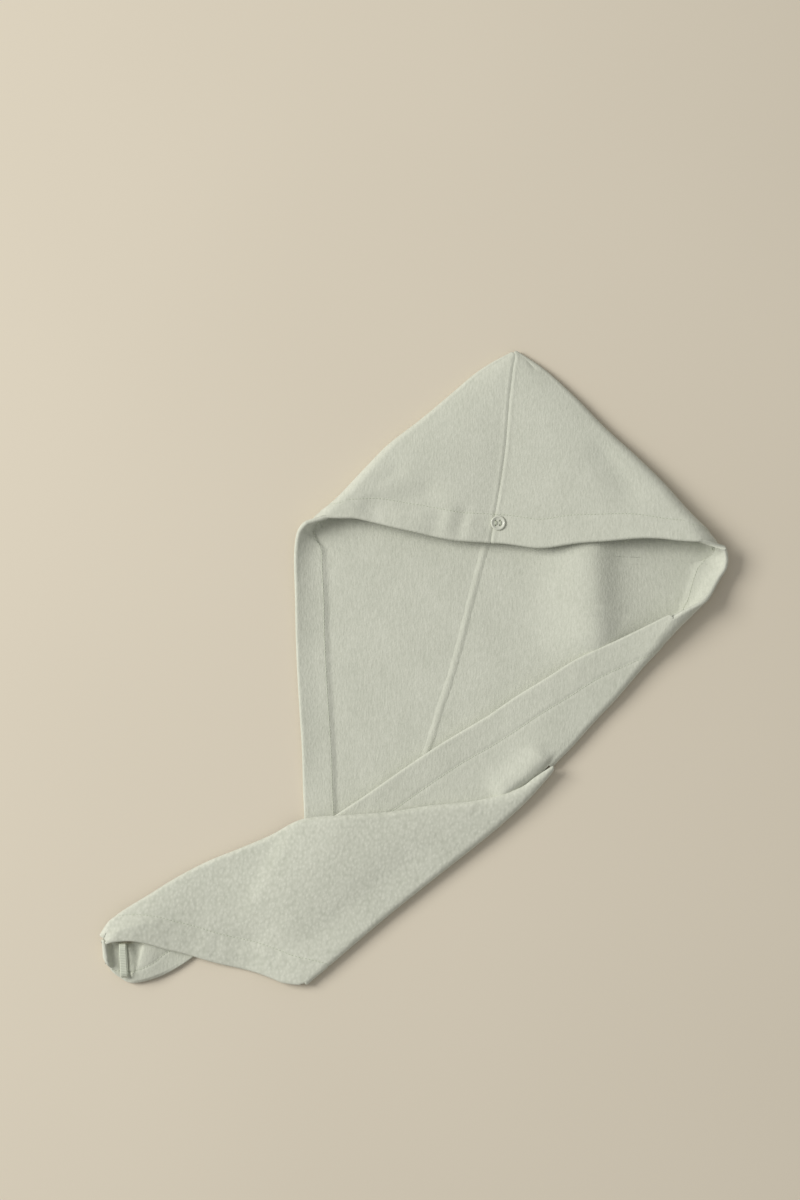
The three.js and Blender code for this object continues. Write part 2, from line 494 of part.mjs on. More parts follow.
// A closed sheet round the middle surface. The inside face carries the hem's second layer.
function sheet(rows, hoodRows, side, joinedRows) {
  const shares = hemShares(rows, hoodRows);
  const ids = new Map();
  const points = [];
  const hems = [];
  rows.forEach((row, i) =>
    row.forEach((point, j) => {
      if (!point) return;
      ids.set(i * 100 + j, points.length);
      points.push(point);
      hems.push(shares[i][j]);
    }),
  );
  const id = (i, j) => ids.get(i * 100 + j);
  const faces = [];
  for (let i = 0; i + 1 < rows.length; i += 1) {
    for (let j = 0; j < LAST; j += 1) {
      const corners = [id(i, j), id(i, j + 1), id(i + 1, j + 1), id(i + 1, j)];
      if (corners.some((corner) => corner === undefined)) continue;
      const [a, b, c, d] = side > 0 ? corners : [corners[0], corners[3], corners[2], corners[1]];
      faces.push([a, b, c], [a, c, d]);
    }
  }
  const normals = points.map(() => new THREE.Vector3());
  for (const [a, b, c] of faces) {
    const normal = points[b].clone().sub(points[a]).cross(points[c].clone().sub(points[a]));
    for (const corner of [a, b, c]) normals[corner].add(normal);
  }
  // along the seam both panels end in one upright plane
  rows.forEach((row, i) => {
    const seamColumns = i < hoodRows ? [0, LAST] : i < joinedRows ? [0] : [];
    for (const j of seamColumns) {
      const before = rows[Math.max(i - 1, 0)][j] ?? row[j];
      const after = i + 1 < rows.length ? (rows[i + 1][j] ?? row[j]) : row[j];
      const across = after.clone().sub(before).setZ(0).normalize();
      across.set(-across.y, across.x, 0);
      const normal = normals[id(i, j)];
      normal.addScaledVector(across, -normal.dot(across));
    }
  });
  const positions = [];
  const count = points.length;
  normals.forEach((normal) => normal.normalize());
  const inner = points.map((p, k) => p.clone().addScaledVector(normals[k], clothThickness * (0.5 + hems[k])));
  const outer = points.map((p, k) => p.clone().addScaledVector(normals[k], -clothThickness / 2));
  // nothing sinks below the surface that the towel lies on
  for (const p of [...inner, ...outer]) positions.push(p.x, p.y, Math.max(p.z, 0));
  const indices = [];
  const edges = new Map();
  for (const [a, b, c] of faces) {
    indices.push(a, b, c, a + count, c + count, b + count);
    for (const [u, v] of [[a, b], [b, c], [c, a]]) {
      const reverse = v * count + u;
      if (edges.has(reverse)) edges.delete(reverse);
      else edges.set(u * count + v, [u, v]);
    }
  }
  for (const [u, v] of edges.values()) {
    indices.push(v, u, u + count, v, u + count, v + count);
  }
  const geometry = new THREE.BufferGeometry();
  geometry.setAttribute("position", new THREE.Float32BufferAttribute(positions, 3));
  geometry.setIndex(indices);
  return geometry;
}

const hoodLeft = sectionsOf(HOOD_LEFT, STEPS).map((s) => hoodRow(s, 1, openingLoftLeft));
const hoodRight = sectionsOf(HOOD_RIGHT, STEPS).map((s) => hoodRow(s, -1, openingLoftRight));
const edgeLeft = sectionsOf(EDGE_LEFT, STEPS).map((s) => edgeRow(s, 1));
const edgeRight = sectionsOf(EDGE_RIGHT, 1).map((s) => edgeRow(s, -1));
const flapRows = sectionsOf(FLAP, STEPS).map((s) => flapRow(s, -1));
const underRows = sectionsOf(UNDER_TAIL, STEPS).map((s) => underRow(s));
const faceRows = sectionsOf(TAIL_FACE, STEPS).map((s) => faceRow(s));
const turned = turnRows(edgeLeft[edgeLeft.length - 1], faceRows[0]);

const leftRows = [...hoodLeft, ...edgeLeft, ...turned, ...faceRows];
const rightRows = [...hoodRight, ...edgeRight, ...flapRows, ...underRows];

// A seam allowance: a low ridge on the inside of a seam, along its points. base gives the height of its
// foot at each point, and up is 1 where it stands on the cloth and -1 where it hangs under it.
function ridge(points, heights) {
  const halfWidth = allowanceWidth / 2;
  const positions = [];
  const indices = [];
  const profile = [
    [-halfWidth, 0],
    [halfWidth, 0],
    [halfWidth * 0.7, allowanceHeight * 0.8],
    [0, allowanceHeight],
    [-halfWidth * 0.7, allowanceHeight * 0.8],
  ];
  const size = profile.length;
  points.forEach((point, i) => {
    const before = points[Math.max(i - 1, 0)];
    const after = points[Math.min(i + 1, points.length - 1)];
    const along = after.clone().sub(before).setZ(0).normalize();
    for (const [across, up] of profile) {
      positions.push(point.x - along.y * across, point.y + along.x * across, heights.base[i] + heights.up * up);
    }
  });
  for (let i = 0; i + 1 < points.length; i += 1) {
    for (let k = 0; k < size; k += 1) {
      const a = i * size + k;
      const b = i * size + ((k + 1) % size);
      indices.push(a, b, b + size, a, b + size, a + size);
    }
  }
  const lastRing = (points.length - 1) * size;
  for (let k = 1; k + 1 < size; k += 1) {
    indices.push(0, k + 1, k, lastRing, lastRing + k, lastRing + k + 1);
  }
  if (heights.up < 0) {
    for (let k = 0; k < indices.length; k += 3) {
      [indices[k + 1], indices[k + 2]] = [indices[k + 2], indices[k + 1]];
    }
  }
  const geometry = new THREE.BufferGeometry();
  geometry.setAttribute("position", new THREE.Float32BufferAttribute(positions, 3));
  geometry.setIndex(indices);
  return geometry;
}

const seamMid = (rows, column) => rows.map((row) => row[column].clone());
const hoodBackLine = seamMid(hoodLeft, 0).slice(SEAM_START);
const backLine = [...hoodBackLine, ...seamMid(edgeLeft, 0).slice(1, JOINED_EDGE_ROWS)];
const backTop = clothThickness + clearance;
const backSeamGeometry = ridge(backLine, { base: backLine.map(() => backTop), up: 1 });

const frontLine = seamMid(hoodLeft, LAST).slice(SEAM_START, -1);
const frontShares = hemShares(hoodLeft, hoodLeft.length).map((row) => row[LAST]).slice(SEAM_START);
const frontBase = frontLine.map((point, i) => {
  const doubled = Math.max(frontShares[i], frontShares[i + 1]);
  return point.z - clothThickness * (0.5 + doubled) - 2 * clearance;
});
const frontSeamGeometry = ridge(frontLine, { base: frontBase, up: -1 });

// Solids for joining and cutting
function solidOf(geometry) {
  const bare = geometry.clone();
  bare.deleteAttribute("normal");
  bare.deleteAttribute("uv");
  const merged = mergeVertices(bare, 1e-4);
  return new wasm.Manifold(
    new wasm.Mesh({
      numProp: 3,
      vertProperties: merged.attributes.position.array,
      triVerts: new Uint32Array(merged.index.array),
    }),
  );
}

function geometryOf(solid) {
  const mesh = solid.getMesh();
  const geometry = new THREE.BufferGeometry();
  geometry.setAttribute("position", new THREE.Float32BufferAttribute(mesh.vertProperties, 3));
  geometry.setIndex([...mesh.triVerts]);
  return geometry;
}

function upright(geometry) {
  return geometry.rotateX(Math.PI / 2);
}

const holePlaces = [-1, 1].flatMap((x) => [-1, 1].map((y) => [(x * buttonHoleSpacing) / 2, (y * buttonHoleSpacing) / 2]));

// A round button with a raised rim and four holes, its underside at z = 0
function buttonGeometry() {
  const radius = buttonDiameter / 2;
  const profile = [
    [0, 0],
    [radius * 0.8, 0],
    [radius, buttonThickness * 0.35],
    [radius, buttonThickness * 0.75],
    [radius * 0.9, buttonThickness],
    [radius * 0.76, buttonThickness * 0.92],
    [radius * 0.62, buttonThickness * 0.66],
    [0, buttonThickness * 0.62],
  ].map(([x, y]) => new THREE.Vector2(x, y));
  let solid = solidOf(upright(new THREE.LatheGeometry(profile, 20)));
  for (const [x, y] of holePlaces) {
    const drill = upright(new THREE.CylinderGeometry(buttonHoleDiameter / 2, buttonHoleDiameter / 2, 3 * buttonThickness, 10));
    solid = solid.subtract(solidOf(drill.translate(x, y, 0)));
  }
  return geometryOf(solid);
}

// The thread: a shank under the button, four legs through its holes and two bars over them
function threadGeometry() {
  const barHeight = buttonThickness * 0.66 + clearance;
  const shankRadius = buttonHoleSpacing / 2 + threadDiameter / 2 + 0.3;
  const shank = upright(new THREE.CylinderGeometry(shankRadius, shankRadius, shankHeight - 2 * clearance, 12));
  let solid = solidOf(shank.translate(0, 0, -shankHeight / 2));
  const legFoot = -shankHeight / 2;
  const legLength = barHeight + threadDiameter / 2 - legFoot;
  for (const [x, y] of holePlaces) {
    const leg = upright(new THREE.CylinderGeometry(threadDiameter / 2, threadDiameter / 2, legLength, 8));
    solid = solid.add(solidOf(leg.translate(x, y, legFoot + legLength / 2)));
  }
  for (const side of [-1, 1]) {
    const bar = new THREE.BoxGeometry(threadDiameter, buttonHoleSpacing + threadDiameter * 0.8, threadDiameter);
    solid = solid.add(solidOf(bar.translate((side * buttonHoleSpacing) / 2, 0, barHeight + threadDiameter / 2)));
  }
  return geometryOf(solid);
}

// The elastic loop: a flat band bent into a long ring that stands on its edge
function loopGeometry() {
  const ring = (length, height) => {
    const r = height / 2;
    const path = new THREE.Path();
    path.moveTo(-length / 2 + r, -r);
    path.lineTo(length / 2 - r, -r);
    path.absarc(length / 2 - r, 0, r, -Math.PI / 2, Math.PI / 2, false);
    path.lineTo(-length / 2 + r, r);
    path.absarc(-length / 2 + r, 0, r, Math.PI / 2, (3 * Math.PI) / 2, false);
    return path;
  };
  const shape = new THREE.Shape(ring(loopLength, loopHeight).getPoints(6));
  const inner = ring(loopLength - 2 * loopBandThickness, loopHeight - 2 * loopBandThickness);
  shape.holes.push(new THREE.Path(inner.getPoints(6)));
  const geometry = new THREE.ExtrudeGeometry(shape, { depth: loopBandWidth, bevelEnabled: false, curveSegments: 8 });
  return geometry.translate(0, 0, -loopBandWidth / 2).rotateX(Math.PI / 2);
}

const terry = () => new THREE.MeshStandardMaterial({ color: 0xc3c9b6, roughness: 0.95, metalness: 0 });
const resin = new THREE.MeshStandardMaterial({ color: 0xc9cdbd, roughness: 0.35, metalness: 0 });
const elastic = new THREE.MeshStandardMaterial({ color: 0xd2d5c6, roughness: 0.8, metalness: 0 });

const towel = new THREE.Group();
const body = new THREE.Group();
towel.add(body);

function addMesh(name, geometry, material) {
  const mesh = new THREE.Mesh(geometry, material);
  mesh.name = name;
  body.add(mesh);
  return mesh;
}

addMesh("left_panel", sheet(leftRows, hoodLeft.length, 1, hoodLeft.length + JOINED_EDGE_ROWS), terry());
addMesh("right_panel", sheet(rightRows, hoodRight.length, -1, rightRows.length - underRows.length), terry());
addMesh("front_seam", frontSeamGeometry, terry());
addMesh("back_seam", backSeamGeometry, terry());

const clothTop = level(1) + frontLoft + clothThickness / 2;
const buttonFoot = clothTop + clearance + shankHeight;
addMesh("button", buttonGeometry(), resin).position.set(percentX(BUTTON.x), percentY(BUTTON.y), buttonFoot);
addMesh("button_thread", threadGeometry(), terry()).position.set(percentX(BUTTON.x), percentY(BUTTON.y), buttonFoot);
const loop = addMesh("loop", loopGeometry(), elastic);
loop.rotation.z = radians(LOOP.turn);
const loopFoot = level(LOOP.layer) + clothThickness / 2 + clearance;
loop.position.set(percentX(LOOP.x), percentY(LOOP.y), loopFoot + loopHeight / 2);

// The origin is the middle of the towel's footprint, on the surface that it lies on
body.updateMatrixWorld(true);
const box = new THREE.Box3().setFromObject(body, true);
const middle = box.getCenter(new THREE.Vector3());
body.position.set(-middle.x, -middle.y, -box.min.z);

export default towel;
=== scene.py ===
"""A terry hair turban towel, laid flat with the hood's opening up: its cloth, seams, hems and button."""
import json
import math

import bpy
import numpy as np
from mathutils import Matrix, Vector, noise

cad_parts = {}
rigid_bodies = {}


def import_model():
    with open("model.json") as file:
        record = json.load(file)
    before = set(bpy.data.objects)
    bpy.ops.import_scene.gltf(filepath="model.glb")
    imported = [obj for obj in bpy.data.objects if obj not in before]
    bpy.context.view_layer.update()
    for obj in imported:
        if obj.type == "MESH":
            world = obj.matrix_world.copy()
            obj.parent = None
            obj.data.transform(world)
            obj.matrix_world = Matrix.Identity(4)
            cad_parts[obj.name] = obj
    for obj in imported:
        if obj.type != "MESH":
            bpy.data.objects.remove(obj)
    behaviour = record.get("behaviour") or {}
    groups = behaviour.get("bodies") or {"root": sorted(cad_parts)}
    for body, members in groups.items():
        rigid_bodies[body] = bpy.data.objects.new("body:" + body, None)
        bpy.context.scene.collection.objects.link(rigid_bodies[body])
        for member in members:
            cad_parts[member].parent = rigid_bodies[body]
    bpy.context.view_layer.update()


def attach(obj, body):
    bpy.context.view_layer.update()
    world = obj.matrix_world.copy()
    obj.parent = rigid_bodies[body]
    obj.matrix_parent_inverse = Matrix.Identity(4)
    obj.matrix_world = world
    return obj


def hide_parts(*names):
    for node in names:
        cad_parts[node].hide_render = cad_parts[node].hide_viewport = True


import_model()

MM = 0.001

# The towel as laid, in mm: the same driving sizes as the part's
LAY_WIDTH = 625
LAY_LENGTH = 638
CLOTH = 2.6
LAYER_GAP = 0.4
HEM_WIDTH = 30
HEM_STEP = 2.4
STITCH_AT = 27.5
LOFT_LEFT = 17
LOFT_RIGHT = 25
FRONT_LOFT = 9
EDGE_ROLL = 6
SEAM_GAP = 0.02
FOLD_SKEW = 2.2
FRONT_CROWN = 1.5
# From the middle of the lay to the part's origin
SHIFT = (-0.71, 0.29, 0.0)
BOW_PROFILE = 9.5

# Cells across a panel
ROLL_CELLS = 6
LEAF_CELLS = 46
FOLD_CELLS = 18
TOP_CELLS = 54
BAND_CELLS = 20
FOLD_START = LEAF_CELLS + 1
FOLD_END = FOLD_START + FOLD_CELLS
LAST = FOLD_END + TOP_CELLS
STEPS = 10
TURN_ROWS = 14
TURN_TAPER = 0.5
SEAM_MARKS = np.array([10.0, 7.6, 5.9, 4.8, 4.0, 3.3, 2.7, 2.1, 1.6, 1.1, 0.7, 0.35, 0.0])


def table(columns, rows):
    """A table with named columns, one array for each."""
    values = np.array(rows, dtype=float)
    return {name: values[:, k] for k, name in enumerate(columns.split())}


BACK_SEAM = table(
    "x y",
    [
        (66.0, 98.9),
        (61.4, 69.0),
        (59.5, 62.1),
        (57.8, 55.3),
        (56.1, 49.2),
        (54.4, 44.2),
        (52.6, 38.4),
        (51.5, 35.4),
    ],
)
HOOD_LEFT = table(
    "seam_y side_x side_y front_x front_y out lift rise",
    [
        (98.9, 65.4, 99.3, 66.2, 98.9, 128, 0.03, 0.15),
        (95.6, 60.6, 96.6, 65.7, 96.1, 130, 0.16, 0.6),
        (91.2, 55.5, 92.4, 65.2, 91.8, 131, 0.3, 0.85),
        (86.2, 50.4, 88.2, 64.8, 87.1, 131, 0.43, 1.0),
        (81.5, 45.7, 84.6, 64.3, 82.4, 131, 0.56, 1.08),
        (77.7, 41.8, 80.7, 63.7, 78.4, 133, 0.7, 1.08),
        (73.8, 37.6, 76.3, 62.9, 74.0, 136, 0.85, 1.04),
        (71.0, 35.1, 74.2, 62.5, 71.5, 138, 0.94, 1.0),
        (69.0, 33.3, 72.9, 62.1, 69.2, 140, 1.0, 1.0),
    ],
)
HOOD_RIGHT = table(
    "seam_y side_x side_y front_x front_y out lift rise",
    [
        (98.9, 66.7, 99.5, 66.2, 98.9, 48, 0.02, 0.15),
        (95.6, 71.2, 96.4, 65.7, 96.1, 46, 0.13, 0.6),
        (91.2, 76.0, 92.0, 65.2, 91.8, 45, 0.26, 0.85),
        (86.2, 80.8, 87.1, 64.8, 87.1, 44, 0.38, 1.0),
        (81.5, 85.4, 82.9, 64.3, 82.4, 44, 0.5, 1.08),
        (77.7, 89.9, 78.5, 63.7, 78.4, 44, 0.63, 1.08),
        (73.8, 93.9, 74.0, 62.9, 74.0, 43, 0.78, 1.04),
        (71.0, 96.7, 71.2, 62.5, 71.5, 42, 0.9, 1.0),
        (69.0, 99.0, 68.8, 62.1, 69.2, 38, 1.0, 1.0),
    ],
)
EDGE_LEFT = table(
    "seam_x seam_y side_x side_y out curl band skew bow",
    [
        (61.2, 68.1, 32.0, 71.4, 156, 110, 1, 0.4, 0),
        (60.9, 67.1, 31.1, 70.0, 170, 58, 1, 0.15, 0),
        (60.5, 65.6, 30.8, 67.8, 177, 34, 1, 0, 0),
        (60.0, 63.8, 30.8, 65.0, 180, 26, 1, 0, 0),
        (58.9, 59.6, 31.0, 60.2, 180, 18, 1, 0, 0),
        (57.8, 55.3, 31.1, 55.5, 180, 14, 1, 0, 0),
        (56.1, 49.2, 31.4, 48.9, 181, 10, 1, 0, 0),
        (54.4, 44.2, 31.8, 42.6, 181, 10, 1, 0, 0),
        (52.6, 38.4, 32.2, 36.7, 181, 10, 1, 0, 0),
        (51.6, 35.6, 32.4, 31.2, 182, 3, 1, 0, 0),
        (54.9, 35.0, 32.6, 26.5, 182, 2, 1, 0, 0),
        (59.7, 34.6, 32.6, 21.0, 186, 2, 1.02, 0, 0.5),
        (64.8, 34.15, 32.7, 13.9, 194, 2, 1.06, 0, 1.5),
        (68.6, 33.8, 32.7, 7.7, 206, 2, 1.16, 0, 3.5),
        (71.0, 33.5, 32.6, 0.9, 221, 2, 1.32, 0, 5.5),
    ],
)
TAIL_FACE = table(
    "seam_x seam_y side_x side_y out inward band curl roll seam_layer mid_layer side_layer bow",
    [
        (71.9, 34.1, 32.6, 0.9, 221, 222, 1.32, 4, 5, 4.2, 3.2, 2.8, 5.5),
        (69.3, 32.5, 32.0, 0.7, 229, 246, 1.26, 4, 35, 4.2, 3.2, 2.75, 2.8),
        (66.2, 30.6, 31.4, 0.6, 236, 273, 1.2, 4, 60, 4.2, 3.25, 2.7, 0.6),
        (59.5, 28.8, 29.1, 0.9, 248, 276, 1.06, 4, 90, 4.3, 3.4, 2.4, 1.0),
        (52.5, 28.1, 27.5, 1.5, 254, 274, 1.0, 4, 95, 4.5, 4.2, 2.1, 0.3),
        (45.9, 27.1, 25.6, 2.2, 257, 273, 1.0, 4, 95, 4.8, 4.6, 1.8, 0),
        (39.0, 26.6, 23.5, 2.8, 256, 273, 1.0, 4, 90, 5.2, 4.6, 1.3, 0),
        (32.2, 26.0, 21.3, 3.3, 256, 283, 1.0, 4, 100, 4.6, 3.95, 1.35, 0),
        (27.0, 23.4, 19.0, 3.8, 257, 298, 1.0, 4, 110, 3.2, 2.8, 1.8, 0),
        (21.6, 21.2, 16.5, 4.5, 256, 300, 1.0, 4, 115, 2.7, 2.5, 2.4, 0),
        (17.1, 19.4, 13.9, 5.3, 254, 303, 0.95, 4, 115, 2.7, 2.7, 2.8, 0),
        (12.3, 17.0, 11.0, 6.0, 256, 307, 0.85, 6, 115, 2.9, 3.4, 3.8, 0),
        (7.5, 14.1, 8.2, 6.8, 258, 308, 0.7, 10, 115, 3.4, 4.3, 5.0, 0),
        (4.0, 12.0, 5.4, 7.3, 262, 312, 0.5, 14, 115, 4.2, 5.0, 5.8, 0),
        (1.6, 10.2, 2.7, 7.2, 262, 322, 0.3, 18, 110, 4.8, 5.2, 5.8, 0),
        (0.2, 8.2, 1.3, 6.8, 250, 332, 0.08, 18, 60, 4.6, 4.8, 5.0, 0),
    ],
)
EDGE_RIGHT = table(
    "seam_x seam_y side_x side_y out curl band skew bow",
    [
        (0, 67.9, 99.7, 67.9, 18, 82, 1, 0.15, 0),
        (0, 66.5, 100.0, 66.5, 2, 66, 1, 0.05, 0),
        (0, 64.9, 99.7, 64.9, -18, 62, 1, 0, 0),
        (0, 63.0, 98.6, 63.2, -29, 60, 1, 0, 0),
        (0, 61.0, 96.9, 60.3, -36, 82, 1, 0, 0),
        (0, 59.1, 94.6, 57.9, -42, 150, 1, 0, 0),
    ],
)
FLAP = table(
    "seam_y side_x side_y hem_x hem_y out side_layer hem_layer",
    [
        (57.8, 92.5, 55.9, 90.4, 57.45, -43, 7.3, 7.0),
        (55.8, 89.4, 52.6, 86.2, 55.4, -43, 5.6, 5.4),
        (53.9, 86.7, 49.8, 82.4, 53.6, -43, 4.2, 4.3),
        (51.3, 82.6, 45.1, 76.0, 50.7, -43, 3.5, 3.8),
        (47.2, 78.9, 41.3, 71.4, 47.9, -43, 3.0, 3.4),
        (41.8, 75.2, 37.3, 66.4, 44.9, -43, 2.8, 3.0),
        (37.9, 73.1, 35.2, 63.7, 43.1, -43, 2.8, 2.8),
        (35.6, 71.9, 33.9, 61.8, 41.8, -43, 2.8, 2.7),
    ],
)
UNDER_TAIL = table(
    "side_x side_y hem_x hem_y side_layer mid_layer hem_layer",
    [
        (68.4, 31.4, 58.7, 40.0, 2.2, 2.0, 2.7),
        (65.0, 28.7, 53.9, 37.2, 1.9, 2.0, 2.7),
        (59.2, 24.6, 47.8, 33.2, 1.8, 2.0, 2.7),
        (54.1, 20.7, 42.7, 29.7, 1.8, 2.1, 2.8),
        (48.9, 16.9, 37.9, 26.6, 1.8, 2.5, 3.0),
        (43.0, 14.0, 32.0, 22.9, 1.9, 2.8, 3.3),
        (36.3, 12.3, 25.8, 18.6, 2.5, 2.6, 1.5),
        (29.3, 11.6, 20.4, 15.0, 1.3, 1.05, 1.05),
        (22.6, 10.4, 15.4, 12.0, 0.2, 0.75, 1.0),
        (17.4, 6.9, 11.2, 9.6, 0.3, 0.75, 1.0),
        (13.6, 3.9, 8.2, 8.2, 0.7, 0.95, 1.2),
        (9.4, 1.7, 6.4, 7.2, 1.0, 1.1, 1.3),
        (5.4, 0.8, 4.8, 6.6, 0.95, 0.9, 1.0),
        (3.2, 1.7, 3.2, 6.8, 1.0, 0.85, 0.95),
        (1.7, 3.2, 1.7, 7.0, 1.5, 1.2, 1.4),
        (0.9, 4.6, 0.7, 7.3, 2.3, 2.0, 2.3),
    ],
)
# Where the front hem bows, over what share of its length, and how far in percent of the lay length
HEM_BOWS = {
    1: ((0.18, 0.2, 0.6), (0.75, 0.18, -0.45)),
    -1: ((0.26, 0.17, 0.6), (0.76, 0.13, -0.85)),
}
# Folds and dents, from one point to another in percent of the lay. left and right are their widths in mm
# on each side of that line, and rise is their height in mm.
RELIEF_COLUMNS = "x0 y0 x1 y1 left right rise"
FLAP_FOLDS = [(69.9, 34.6, 64.4, 30.5, 5.5, 15, 5.0), (71.6, 39.0, 64.5, 32.0, 20, 20, 1.0)]
RELIEFS = {
    "back": table(
        RELIEF_COLUMNS,
        [(78.0, 70, 78.6, 55, 24, 40, 11.5), (80.0, 70, 80.5, 54, 55, 30, 2.5)],
    ),
    "flap": table(RELIEF_COLUMNS, FLAP_FOLDS),
    "front": table(
        RELIEF_COLUMNS,
        [
            (58.0, 73.9, 57.1, 71.0, 5, 8, -1.5),
            (54.0, 73.3, 52.6, 70.4, 7, 10, -1.3),
            (55.6, 74.2, 55.0, 72.0, 5, 6, 0.6),
            (51.5, 76.5, 43.5, 74.0, 20, 14, -3.4),
            (47.0, 80.0, 41.5, 77.5, 10, 9, -1.0),
            (68.3, 98.6, 69.1, 96.9, 2.4, 2.8, -1.3),
            (80.5, 82.5, 84, 77, 17, 17, -2.2),
            (63.3, 72.1, 63.4, 72.0, 8, 8, -1.4),
        ],
    ),
    "under": table(RELIEF_COLUMNS, FLAP_FOLDS + [(7.6, 7.2, 6.1, 2.6, 22, 3.0, 4.8), (0.9, 7.4, 1.4, 3.6, 3, 3, 6.0)]),
}


def plan(x, y):
    return np.array([(x / 100 - 0.5) * LAY_WIDTH, (y / 100 - 0.5) * LAY_LENGTH, 0.0])


def heading(degrees):
    return np.array([math.cos(math.radians(degrees)), math.sin(math.radians(degrees)), 0.0])


def level(layers):
    """Height of the middle of a cloth that lies on a number of other layers."""
    return CLOTH / 2 + layers * (CLOTH + LAYER_GAP)


def sections(rows, steps):
    """Smooth sections between the rows of a table."""
    count = len(next(iter(rows.values())))
    found = []
    for k in range((count - 1) * steps + 1):
        i = min(k // steps, count - 2)
        t = k / steps - i
        picks = [min(max(j, 0), count - 1) for j in (i - 1, i, i + 1, i + 2)]
        section = {}
        for name, column in rows.items():
            a, b, c, d = column[picks]
            section[name] = (
                (2 * t**3 - 3 * t**2 + 1) * b
                + (t**3 - 2 * t**2 + t) * (c - a) / 2
                + (3 * t**2 - 2 * t**3) * c
                + (t**3 - t**2) * (d - b) / 2
            )
        found.append(section)
    return found


def seam_point(s):
    if s["seam_y"] < BACK_SEAM["y"][-1]:
        return plan(s["seam_x"], s["seam_y"])
    return plan(np.interp(-s["seam_y"], -BACK_SEAM["y"], BACK_SEAM["x"]), s["seam_y"])


def relief(leaf, points):
    height = np.zeros(len(points))
    rows = RELIEFS.get(leaf)
    if rows is None:
        return height
    for x0, y0, x1, y1, left, right, rise in zip(*rows.values()):
        start = plan(x0, y0)[:2]
        run = plan(x1, y1)[:2] - start
        offset = points[:, :2] - start
        share = np.clip(offset @ run / (run @ run), 0, 1)
        beside = (run[0] * offset[:, 1] - run[1] * offset[:, 0]) / np.linalg.norm(run)
        distance = np.linalg.norm(offset - share[:, None] * run, axis=1)
        past = np.sqrt(np.clip(distance**2 - beside**2, 0, None))
        width = np.where(beside > 0, left, right)
        height += rise * np.exp(-((beside / width) ** 2) - (past / ((left + right) / 2)) ** 2)
    return height


def leaf_points(start, end, shares, heights, leaf):
    points = start + shares[:, None] * (end - start)
    low, middle, high = heights
    crown = middle - (low + high) / 2
    bulge = 4 * shares * (1 - shares)
    edge = np.minimum(1, 5 * bulge if leaf in ("flap", "under") else 2 * bulge)
    points[:, 2] = low + (high - low) * shares + crown * bulge + relief(leaf, points) * edge
    return points


def back_leaf(start, end):
    band = 1 - HEM_STEP / np.linalg.norm(end - start)
    shares = np.append(np.linspace(0, band, LEAF_CELLS + 1), 1.0)
    return leaf_points(start, end, shares, (level(0),) * 3, "back")


def arc(start, out, radius, angle, skew):
    along = np.array([-out[1], out[0], 0.0])
    j = np.arange(1, FOLD_CELLS + 1)[:, None] / FOLD_CELLS
    turn = angle * j
    up = np.array([0.0, 0.0, 1.0])
    return start + out * radius * np.sin(turn) + along * skew * j + up * radius * (1 - np.cos(turn))


def curl_reach(radius, angle):
    return (radius + CLOTH / 2) * math.sin(min(angle, math.pi / 2))


def bow_out(points, bow):
    """Moves a section out towards the fold under the tail, most near its upper end."""
    span = (points[0] - points[-1]) * (1, 1, 0)
    length = np.linalg.norm(span)
    along = span / length
    out = np.array([along[1], -along[0], 0.0])
    share = (points[0] - points) @ along / length
    points += bow * (BOW_PROFILE * share * (1 - share) ** 3)[:, None] * out
    return points


def hood_row(s, side, loft):
    out = heading(s["out"])
    along = np.array([-out[1], out[0], 0.0])
    top = level(1) + s["lift"] * loft
    radius = (top - level(0)) / 2
    skew = -side * FOLD_SKEW * radius
    start = plan(s["side_x"], s["side_y"]) - out * curl_reach(radius, math.pi) - along * skew / 2
    seam = seam_point(s)
    seam[0] -= side * SEAM_GAP / 2
    row = [back_leaf(seam, start)]
    start[2] = level(0)
    row.append(arc(start, out, radius, math.pi, skew))
    front = plan(s["front_x"], s["front_y"])
    front[0] -= side * SEAM_GAP / 2
    front_height = level(1) + s["rise"] * FRONT_LOFT
    heights = (top, (top + front_height) / 2 + s["rise"] * FRONT_CROWN, front_height)
    fold_end = row[1][-1] * (1, 1, 0)
    length = np.linalg.norm(front - fold_end)
    beside = SEAM_MARKS * min(1, length / (3 * SEAM_MARKS[0]))
    plain = np.linspace(length, beside[0], TOP_CELLS - len(beside) + 2)[1:-1]
    shares = 1 - np.concatenate([plain, beside]) / length
    leaf = leaf_points(fold_end, front, shares, heights, "front")
    ease = np.minimum(1, np.minimum(6 * shares, 12 * (1 - shares)))
    for at, spread, rise in HEM_BOWS[side]:
        swell = np.exp(-(((shares - at) / spread) ** 2))
        leaf[:, 1] += rise / 100 * LAY_LENGTH * swell * ease * s["lift"] ** 2
    row.append(leaf)
    return np.concatenate(row)


def edge_row(s, side):
    out = heading(s["out"])
    angle = math.radians(s["curl"])
    radius = s["band"] * (HEM_WIDTH - HEM_STEP / 2) / angle
    seam = seam_point(s)
    seam[0] -= side * SEAM_GAP / 2
    along = np.array([-out[1], out[0], 0.0])
    skew = -side * FOLD_SKEW * radius * s["skew"]
    start = plan(s["side_x"], s["side_y"]) - out * curl_reach(radius, angle) - along * skew / 2
    row = [bow_out(back_leaf(seam, start), s["bow"])]
    start[2] = level(0)
    row.append(arc(start, out, radius, angle, skew))
    return np.concatenate(row)


